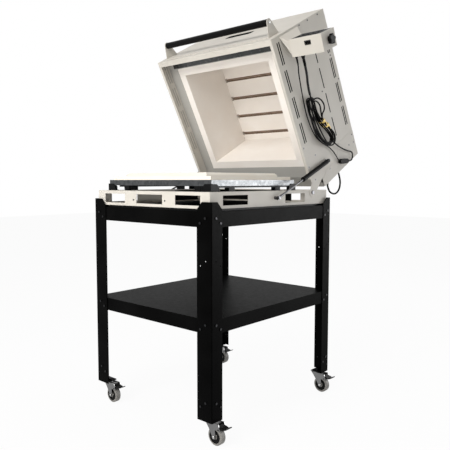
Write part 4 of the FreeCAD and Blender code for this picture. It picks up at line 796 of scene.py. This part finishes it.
@dataclass
class Cords:
    """The gathered power cord with its sleeve and ties, the sensor lead and the rear cable."""

    shop: Workshop
    looks: Finishes
    cord_radius: float = 0.0035
    sleeve_radius: float = 0.0055
    lead_radius: float = 0.00265
    rear_radius: float = 0.0045
    tie_shares: tuple[float, float] = (0.2, 0.7)
    thick_gland: Point = (446.0, 76.5, 1560.1)
    thin_gland: Point = (412.0, 76.5, 1560.1)
    sleeve_end: float = 1424.0
    rear_x: float = 328.0
    rear_levels: tuple[float, float] = (300.0, 182.0)
    proud: float = 6.5
    cord_length: float = 3.94
    lead_length: float = 0.66
    rear_length: float = 0.28
    strands: tuple[float, float, float] = (389.5, 381.2, 372.9)
    run: tuple[tuple[float, float], tuple[float, float]] = ((316.0, 1331.0), (384.0, 1297.0))
    low_run: tuple[tuple[float, float], tuple[float, float]] = ((310.0, 1322.0), (380.0, 1288.5))
    inner_run: tuple[tuple[float, float], tuple[float, float]] = ((305.0, 1318.0), (374.0, 1283.5))
    way_out: Vector = field(default_factory=lambda: Vector((0.0, 0.4115, -0.9114)))

    def turns(self) -> list[tuple[float, Profile]]:
        """Give the gathered turns in order, each with its distance to the right and its points (back, up)."""
        near, middle, far = self.strands
        return [
            (near + self.proud, (
                (236, 1400), (262, 1404), (291, 1388), (298, 1362), *self.low_run, (416, 1268), (424, 1249),
                (417, 1230), (399, 1219), (364, 1217), (322, 1227), (280, 1253), (247, 1304), (226, 1352),
                (225, 1386))),
            (near, (
                (246, 1412), (284, 1422), (318, 1412), (338, 1394), (340, 1370), (318, 1350), (326, 1317),
                (384, 1293), (424, 1274), (440, 1256), (443, 1234), (431, 1215), (409, 1207), (364, 1206),
                (316, 1216), (270, 1246), (236, 1300), (213, 1352), (208, 1392))),
            (middle + 4.2, (
                (215, 1411), (233, 1419), (252, 1411), (275, 1362), *self.inner_run, (404, 1266), (415, 1248),
                (410, 1227), (392, 1217), (371, 1221), (346, 1242), (312, 1275), (274, 1318), (232, 1360),
                (216, 1392))),
            (middle, (
                (222, 1411), (240, 1420), (259, 1413), (280, 1364), *self.run, (422, 1273), (433, 1255),
                (431, 1234), (418, 1216), (396, 1211), (342, 1222), (292, 1254), (252, 1304), (217, 1352),
                (209, 1378))),
            (far + 4.0, (
                (213, 1397), (229, 1408), (248, 1405), (262, 1390), (280, 1352), *self.low_run, (410, 1269),
                (421, 1251), (417, 1230), (400, 1217), (378, 1217), (350, 1233), (308, 1268), (266, 1316),
                (224, 1358), (208, 1388))),
            (far, (
                (213, 1407), (231, 1416), (250, 1410), (275, 1362), *self.inner_run, (408, 1264))),
        ]

    def cord_route(self) -> list[Vector]:
        """Give the power cord's points: out of the gland, round the gathered turns and along to the coupler."""
        spots = [
            self.thick_gland, (446, 94.7, 1520.0), (428, 132, 1497), (412.5, 160, 1471), (402, 188, 1440),
            (396, 214, 1410)]
        for x, points in self.turns():
            spots += [(x, y, z) for y, z in points]
        spots += [
            (376, 438, 1231), (380, 482, 1209), (383, 530, 1195), (380, 574, 1189), (377, 604, 1187),
            (374.5, 632, 1185.5), (373, 645, 1171), (372.5, 644, 1152), (372, 630, 1138.5), (372, 596, 1138.5)]
        return [placed(*spot) for spot in spots]

    def lead_route(self) -> list[Vector]:
        """Give the sensor lead's points: out of the thin gland and down the panel to the coupler."""
        spots = [
            self.thin_gland, (412, 86.4, 1538.2), (400, 107, 1508), (388, 137, 1475), (376, 168, 1437),
            (369, 195, 1393), (366.5, 218, 1348), (366.5, 244, 1305), (366.5, 275, 1267), (366.5, 316, 1233),
            (368, 368, 1214), (370, 422, 1199), (371, 468, 1173), (372, 497, 1146), (372, 518, 1132)]
        return [placed(*spot) for spot in spots]

    def rear_route(self) -> list[Vector]:
        """Give the rear cable's points, from the upper grommet round to the lower one."""
        upper, lower = self.rear_levels
        return [on_hood(self.rear_x, y, z) for y, z in (
            (35, upper), (89, 306), (131, 278), (139, 234), (117, 196), (83, 174), (35, lower))]

    def relief(self, name: str, start: Vector, way: Vector, wide: float, narrow: float,
               length: float) -> Piece:
        """Make a tapered, ribbed strain relief.

        Args:
            name: Name of the piece.
            start: Middle of its wide end.
            way: Direction in which the cord leaves.
            wide: Radius at the housing.
            narrow: Radius at the tip.
            length: Length in metres.

        Returns:
            The new object.
        """
        ribs = 5
        profile = [(0.0, wide)]
        for rib in range(ribs):
            for share, inset in ((0.15, 0.0), (0.6, 0.0), (0.7, 0.0007), (0.95, 0.0007)):
                part = (rib + share) / ribs
                profile.append((length * part, wide + (narrow - wide) * part - inset))
        profile.append((length, narrow - 0.0007))
        return self.shop.piece(name, lathe(profile, start, way, 24), self.looks.rubber)

    def tie(self, name: str, share: float) -> Piece:
        """Make a flat tie round the gathered strands, with its twisted ends.

        Args:
            name: Name of the piece.
            share: Its place along the tied run, from 0 to 1.

        Returns:
            The new object.
        """
        (y0, z0), (y1, z1) = self.run
        along = Vector((0, y1 - y0, z1 - z0)).normalized()
        rise = Vector((0, -along.z, along.y))
        low_x, high_x = self.strands[2], self.strands[0] + self.proud
        middle = placed((low_x + high_x) / 2, y0 + (y1 - y0) * share, z0 + (z1 - z0) * share) - rise * 0.006
        half_x = (high_x - low_x) / 2000 + self.cord_radius + 0.0004
        half_z = self.cord_radius + 0.0066
        shape = bmesh.new()
        steps = 36
        rings = []
        for number in range(steps):
            angle = 2 * math.pi * number / steps
            c, s = math.cos(angle), math.sin(angle)
            flat = Vector((math.copysign(abs(c) ** 0.5, c) * half_x, 0, 0))
            flat += rise * math.copysign(abs(s) ** 0.7, s) * half_z
            outward = Vector((c, 0, 0)) + rise * s
            wave = 0.0004 * math.sin(3 * angle)
            ring = []
            for side, lift in ((-1, 0.0), (-0.9, 0.0011), (0, 0.0014), (0.9, 0.0011), (1, 0.0), (0, -0.0001)):
                ring.append(shape.verts.new(middle + flat + outward * lift + along * (side * 0.0055 + wave)))
            rings.append(ring)
        joined(shape, rings, closed=True)
        tail_start = middle + Vector((half_x, 0, 0)) - rise * 0.001
        thick = Vector((0.0007, 0, 0))
        for lean in (-1, 1):
            tail = []
            for step in range(7):
                part = step / 6
                bend = along * (lean * 0.019 * part) + Vector((0.0025 + 0.003 * math.sin(part * 2.4), 0, 0))
                spot = tail_start + bend - rise * (0.009 * part)
                width = rise * 0.0022 * (1 - 0.3 * part) + along * 0.001 * lean
                corners = (spot - width, spot + width, spot + width + thick, spot - width + thick)
                tail.append([shape.verts.new(corner) for corner in corners])
            shape.faces.new(tail[0])
            joined(shape, tail)
            shape.faces.new(tail[-1])
        return self.shop.piece(name, shape, self.looks.tie)

    def build(self) -> None:
        """Build the three cords and what sits on them."""
        cord = self.shop.curve("power_cord_line", self.cord_route(), self.cord_radius, self.looks.rubber)
        line = line_of(cord)
        covered = []
        for first, second in zip(line, line[1:]):
            covered.append(first)
            if first.z < placed(0, 0, self.sleeve_end).z:
                break
        radii = [self.sleeve_radius] * len(covered)
        radii[-1] = self.cord_radius + 0.0004
        sleeve = self.shop.piece("cord_sleeve", swept(covered, radii, 16), self.looks.sleeve)
        ties = [self.tie(f"cord_tie_{number + 1}", share) for number, share in enumerate(self.tie_shares)]
        thick = self.relief("cord_relief", placed(446, 78.1, 1556.5), self.way_out, 0.0066, 0.0060, 0.028)
        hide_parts("cord_hank", "cord_tail")
        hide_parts("power_cord")
        lead = self.shop.curve("sensor_lead_line", self.lead_route(), self.lead_radius, self.looks.rubber)
        thin = self.relief("lead_relief", placed(*self.thin_gland), self.way_out, 0.0046, 0.0034, 0.022)
        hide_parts("sensor_lead")
        rear = self.shop.curve("rear_cable_line", self.rear_route(), self.rear_radius, self.looks.rubber)
        upper, lower = self.rear_levels
        out = (on_hood(self.rear_x, 100, upper) - on_hood(self.rear_x, 0, upper)).normalized()
        boots = [self.relief(name, on_hood(self.rear_x, 27.2, level), out, 0.0085, 0.0056, length)
                 for name, level, length in (("upper_boot", upper, 0.020), ("lower_boot", lower, 0.030))]
        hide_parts("rear_cable")


@dataclass
class Stand:
    """The black stand on its casters."""

    shop: Workshop
    looks: Finishes
    caster_x: float = 335.0
    caster_y: float = 389.0
    trail: float = 30.0
    axle_level: float = 17.5
    wheel_half: float = 15.0
    axle_half: float = 21.5

    def frame(self) -> None:
        """Paint the legs, aprons, shelf and bolts."""
        dress(self.looks.stand_paint, "leg_front_right", "leg_front_left", "leg_rear_right", "leg_rear_left",
              "apron_front", "apron_rear", "apron_left", "apron_right", "shelf_tray")
        dress(self.looks.black_bolt, "stand_bolts")

    def casters(self) -> None:
        """Dress each caster and add its wheel covers and axle caps."""
        for corner, side_x, side_y in (("front_right", 1, -1), ("front_left", -1, -1), ("rear_right", 1, 1),
                                       ("rear_left", -1, 1)):
            dress(self.looks.fork_zinc, f"caster_{corner}_fork")
            dress(self.looks.tread, f"caster_{corner}_wheel")
            dress(self.looks.plastic, f"caster_{corner}_pedal")
            axle = (side_x * self.caster_x + self.trail, side_y * self.caster_y, self.axle_level)
            for side in (-1, 1):
                start = placed(axle[0], axle[1] + side * (self.wheel_half - 5), axle[2])
                profile = ((0.0, 0.0134), (0.0030, 0.0134), (0.0042, 0.0150), (0.0030, 0.0172),
                           (0.0030, 0.0220), (0.0042, 0.0245), (0.0038, 0.0272), (0.0, 0.0272))
                ring = lathe(profile, start, Vector((0, side, 0)), 40, closed=True)
                name = "near" if side < 0 else "far"
                self.shop.piece(f"wheel_cover_{corner}_{name}", ring, self.looks.hub, f"wheel_{corner}")
                cap = ((0.0, 0.0062), (0.0008, 0.0062), (0.0022, 0.0046), (0.0029, 0.0024), (0.0030, 0.0))
                spot = placed(axle[0], axle[1] + side * self.axle_half, axle[2])
                self.shop.piece(f"axle_cap_{corner}_{name}", lathe(cap, spot, Vector((0, side, 0)), 24),
                                self.looks.bolt_zinc, f"yoke_{corner}")

    def build(self) -> None:
        """Dress the whole stand."""
        self.frame()
        self.casters()


@dataclass
class Hearth:
    """The cream base frame with the zinc pan and the floor slab."""

    shop: Workshop
    looks: Finishes

    def window_shade_sheets(self) -> None:
        """Stand dark sheets of painted shade behind the windows at the rear and the left, which makes them look
        dark from the front.
        """
        sheets = (("rear", (-350, 415.6, 932), (150, 416.8, 984)),
                  ("left", (-355.2, 66, 932), (-354.0, 238, 984)))
        for name, low, high in sheets:
            sheet = rounded_block(tuple(placed(*low)), tuple(placed(*high)), 0.0003, 1)
            self.shop.piece(f"window_shade_sheet_{name}", sheet, self.looks.dark, Body.STAND.value)

    def build(self) -> None:
        """Dress the floor of the kiln."""
        dress(self.looks.cream_paint, "base_frame")
        dress(self.looks.black_steel, "spacer_ring", "pan_supports")
        dress(self.looks.pan_sheet, "floor_pan")
        dress(self.looks.board, "floor_slab")
        dress(self.looks.dark_bolt, "frame_fasteners")
        self.window_shade_sheets()


@dataclass
class Hood:
    """The hinged hood: casing, lining, elements, handle and its small fittings."""

    shop: Workshop
    looks: Finishes
    sight_x: float = -12.0
    sight_z: float = 279.0
    front: float = -733.2
    grip_y: float = -792.2
    grip_z: float = 85.0
    cheek_x: float = 325.0
    slot_pitch: float = 125.0
    slot_rise: float = 14.0
    slots_in_row: int = 4
    slot_middle: Point = (359.7, 48.5, 2.5)
    groove_first: float = -600.0
    groove_pitch: float = 105.0
    groove_count: int = 5
    slot_rows: tuple[tuple[float, float, int], ...] = (
        (-706.0, 45.0, 2), (-621.0, 316.0, 1), (-630.0, 426.0, 2))

    def casing(self) -> None:
        """Paint the casing and line it."""
        for wall in ("front", "left", "right", "rear", "roof"):
            dress(self.looks.cream_paint, f"casing_{wall}")
            dress(self.looks.brick, f"brick_{wall}")
        dress(self.looks.cream_paint, "handle_bracket")
        dress(self.looks.inner_sheet, "inner_frame")
        dress(self.looks.element, "heating_elements")
        dress(self.looks.bolt_zinc, "thermocouple")
        dress(self.looks.dark_bolt, "hood_fasteners")
        dress(self.looks.grip, "handle_grip")

    def sight_shade_plate(self) -> None:
        """Close the sight opening with a dark plate behind the panel, painted shade for the opening's inside.
        """
        low = ((self.sight_x - 90) / 1000, (self.front + 2.2) / 1000, (self.sight_z - 32) / 1000)
        high = ((self.sight_x + 90) / 1000, (self.front + 5.2) / 1000, (self.sight_z + 32) / 1000)
        plate = moved(rounded_block(low, high, 0.001), hood_frame())
        self.shop.piece("sight_shade_plate", plate, self.looks.dark)

    def slot_plates(self, side: int, shift: float, thick: float, long: float, tall: float) -> Shape:
        """Cut a thin plate for every slot of one side panel.

        Args:
            side: -1 for the left panel, 1 for the right.
            shift: Distance of the plates outwards from the middle of the sheet.
            thick: Their thickness.
            long: Their length along the slot.
            tall: Their height across it.

        Returns:
            The plates at the open pose.
        """
        shape = bmesh.new()
        for first, level, rows in self.slot_rows:
            for number in range(self.slots_in_row * rows):
                row, place = divmod(number, self.slots_in_row)
                across, along, up = self.slot_middle
                middle = Vector((side * across, first + self.slot_pitch * place + along,
                                 level + self.slot_rise * row + up)) / 1000
                for corner in bmesh.ops.create_cube(shape, size=1.0)["verts"]:
                    spot = Vector((corner.co.x * thick + side * shift, corner.co.y * long, corner.co.z * tall))
                    corner.co = middle + spot
        return moved(shape, hood_frame())

    def slot_shade_inserts(self) -> None:
        """Fit each slot of the side panels with a thin insert of painted shade behind a black rim of painted
        shadow.
        """
        for side, name, look in ((-1, "left", self.looks.screen), (1, "right", self.looks.dark)):
            # Inserts: grey on the left, near black on the right, both painted shade in the slots.
            inner = self.slot_plates(side, 0.0, 0.0006, 0.0968, 0.0048)
            self.shop.piece(f"slot_shade_inserts_{name}", inner, look)
            # Rims: painted shadow round each slot's edge, outside the insert.
            outer = self.slot_plates(side, 0.00085, 0.0002, 0.0990, 0.0074)
            self.shop.piece(f"slot_shadow_rims_{name}", outer, self.looks.dark)

    def groove_middle(self, row: int) -> float:
        """Give a groove's distance behind the hinge, in metres, with the hood closed."""
        return (self.groove_first + self.groove_pitch * row) / 1000

    def groove_shade_marks(self) -> None:
        """Paint shade in brown on the brick along each element groove and round its end sockets."""
        shape = bmesh.new()
        for row in range(self.groove_count):
            middle = self.groove_middle(row)
            for side in (-1, 1):
                for corner in bmesh.ops.create_cube(shape, size=1.0)["verts"]:
                    corner.co = Vector((corner.co.x * 0.494, middle + side * 0.0071 + corner.co.y * 0.0020,
                                        0.3568 + corner.co.z * 0.0003))
                steps = 24
                rings = []
                for number in range(steps + 1):
                    angle = math.pi * 1.5 * number / steps - math.pi * 0.75
                    turn = Vector((side * math.cos(angle), math.sin(angle), 0))
                    rings.append([shape.verts.new(Vector((side * 0.2565, middle, level)) + turn * radius)
                                  for radius, level in ((0.0086, 0.3569), (0.0112, 0.3569), (0.0112, 0.3566),
                                                        (0.0086, 0.3566))])
                joined(shape, rings)
                shape.faces.new(rings[0])
                shape.faces.new(rings[-1])
        self.shop.piece("groove_shade_marks", moved(shape, hood_frame()), self.looks.groove_shade)

    def front_shade_strip(self) -> None:
        """Lay a dark glossy strip of painted shade on the rim between the front panel and the bricks, where the
        channel lies in shade.
        """
        strip = rounded_block((-0.3230, -0.7295, 0.0727), (0.3560, -0.6735, 0.0745), 0.0006)
        self.shop.piece("front_shade_strip", moved(strip, hood_frame()), self.looks.front_shade)

    def groove_sides(self) -> None:
        """Darken the sides of the element grooves with thin strips of painted shade."""
        for row in range(self.groove_count):
            middle = self.groove_middle(row)
            for side, name in ((-1, "front"), (1, "rear")):
                near, far = middle + side * 0.0053, middle + side * 0.0059
                low, high = (-0.2560, min(near, far), 0.3575), (0.2560, max(near, far), 0.3698)
                strip = rounded_block(low, high, 0.0001, 1)
                self.shop.piece(f"groove_side_{row + 1}_{name}", moved(strip, hood_frame()), self.looks.groove_shade)

    def grip_bolts(self) -> None:
        """Put a domed bolt head on each cheek of the handle."""
        profile = ((0.0, 0.0072), (0.0012, 0.0072), (0.0028, 0.0060), (0.0038, 0.0038), (0.0041, 0.0))
        for side, name in ((-1, "left"), (1, "right")):
            place = on_hood(side * self.cheek_x, self.grip_y, self.grip_z)
            self.shop.piece(f"grip_bolt_{name}", lathe(profile, place, Vector((side, 0, 0)), 24),
                            self.looks.bolt_zinc)

    def build(self) -> None:
        """Dress the whole hood."""
        self.casing()
        self.sight_shade_plate()
        self.slot_shade_inserts()
        self.groove_sides()
        self.groove_shade_marks()
        self.front_shade_strip()
        self.grip_bolts()


@dataclass
class ControlBox:
    """The control box beside the hood, with its switch and tilt knob."""

    shop: Workshop
    looks: Finishes
    middle_y: float = -662.0
    middle_z: float = 134.0
    lean: float = math.radians(4.0)
    half_height: float = 55.0
    rocker_x: float = 490.0
    rocker_y: float = -12.0

    def frame(self) -> Matrix:
        """Give the matrix from the box's own axes, in metres from its middle, to the open pose."""
        middle = Matrix.Translation((0, self.middle_y / 1000, self.middle_z / 1000))
        return hood_frame() @ middle @ Matrix.Rotation(-self.lean, 4, "X")

    def bezel(self) -> None:
        """Frame the rocker's hole with a raised black lip."""
        shape = bmesh.new()
        wide, deep = 0.0125, 0.00625
        loops = []
        for grow, drop in ((0.0, -0.0002), (0.0, 0.0012), (0.0012, 0.0016), (0.0028, 0.0012), (0.0032, 0.0)):
            loop = []
            for sx, sy in ((-1, -1), (1, -1), (1, 1), (-1, 1)):
                spot = Vector((self.rocker_x / 1000 + sx * (wide + grow),
                               self.rocker_y / 1000 + sy * (deep + grow), -self.half_height / 1000 - drop))
                loop.append(shape.verts.new(spot))
            loops.append(loop)
        joined(shape, loops, closed=True)
        self.shop.piece("rocker_bezel", moved(shape, self.frame()), self.looks.plastic, Body.CONTROL.value)

    def build(self) -> None:
        """Dress the control box and its bracket."""
        dress(self.looks.cream_paint, "control_case", "control_bracket")
        dress(self.looks.face, "control_face")
        dress(self.looks.plastic, "control_glands", "rocker_switch", "tilt_knob")
        dress(self.looks.rubber, "inline_coupler")
        self.bezel()


@dataclass
class Struts:
    """The two gas struts."""

    looks: Finishes

    def build(self) -> None:
        """Dress both struts."""
        for side in ("right", "left"):
            dress(self.looks.rod_steel, f"strut_{side}_rod")
            dress(self.looks.strut_paint, f"strut_{side}_cylinder")


def main() -> None:
    """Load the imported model, dress it and set the stage."""
    logging.basicConfig(level=logging.INFO, format="%(name)s: %(message)s")
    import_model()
    shop = Workshop()
    looks = Finishes()
    View().build()
    Cords(shop, looks).build()
    Stand(shop, looks).build()
    Hearth(shop, looks).build()
    Hood(shop, looks).build()
    ControlBox(shop, looks).build()
    Struts(looks).build()
    for name in shop.made:
        log.info("piece %s", name)


if __name__ == "__main__":
    main()
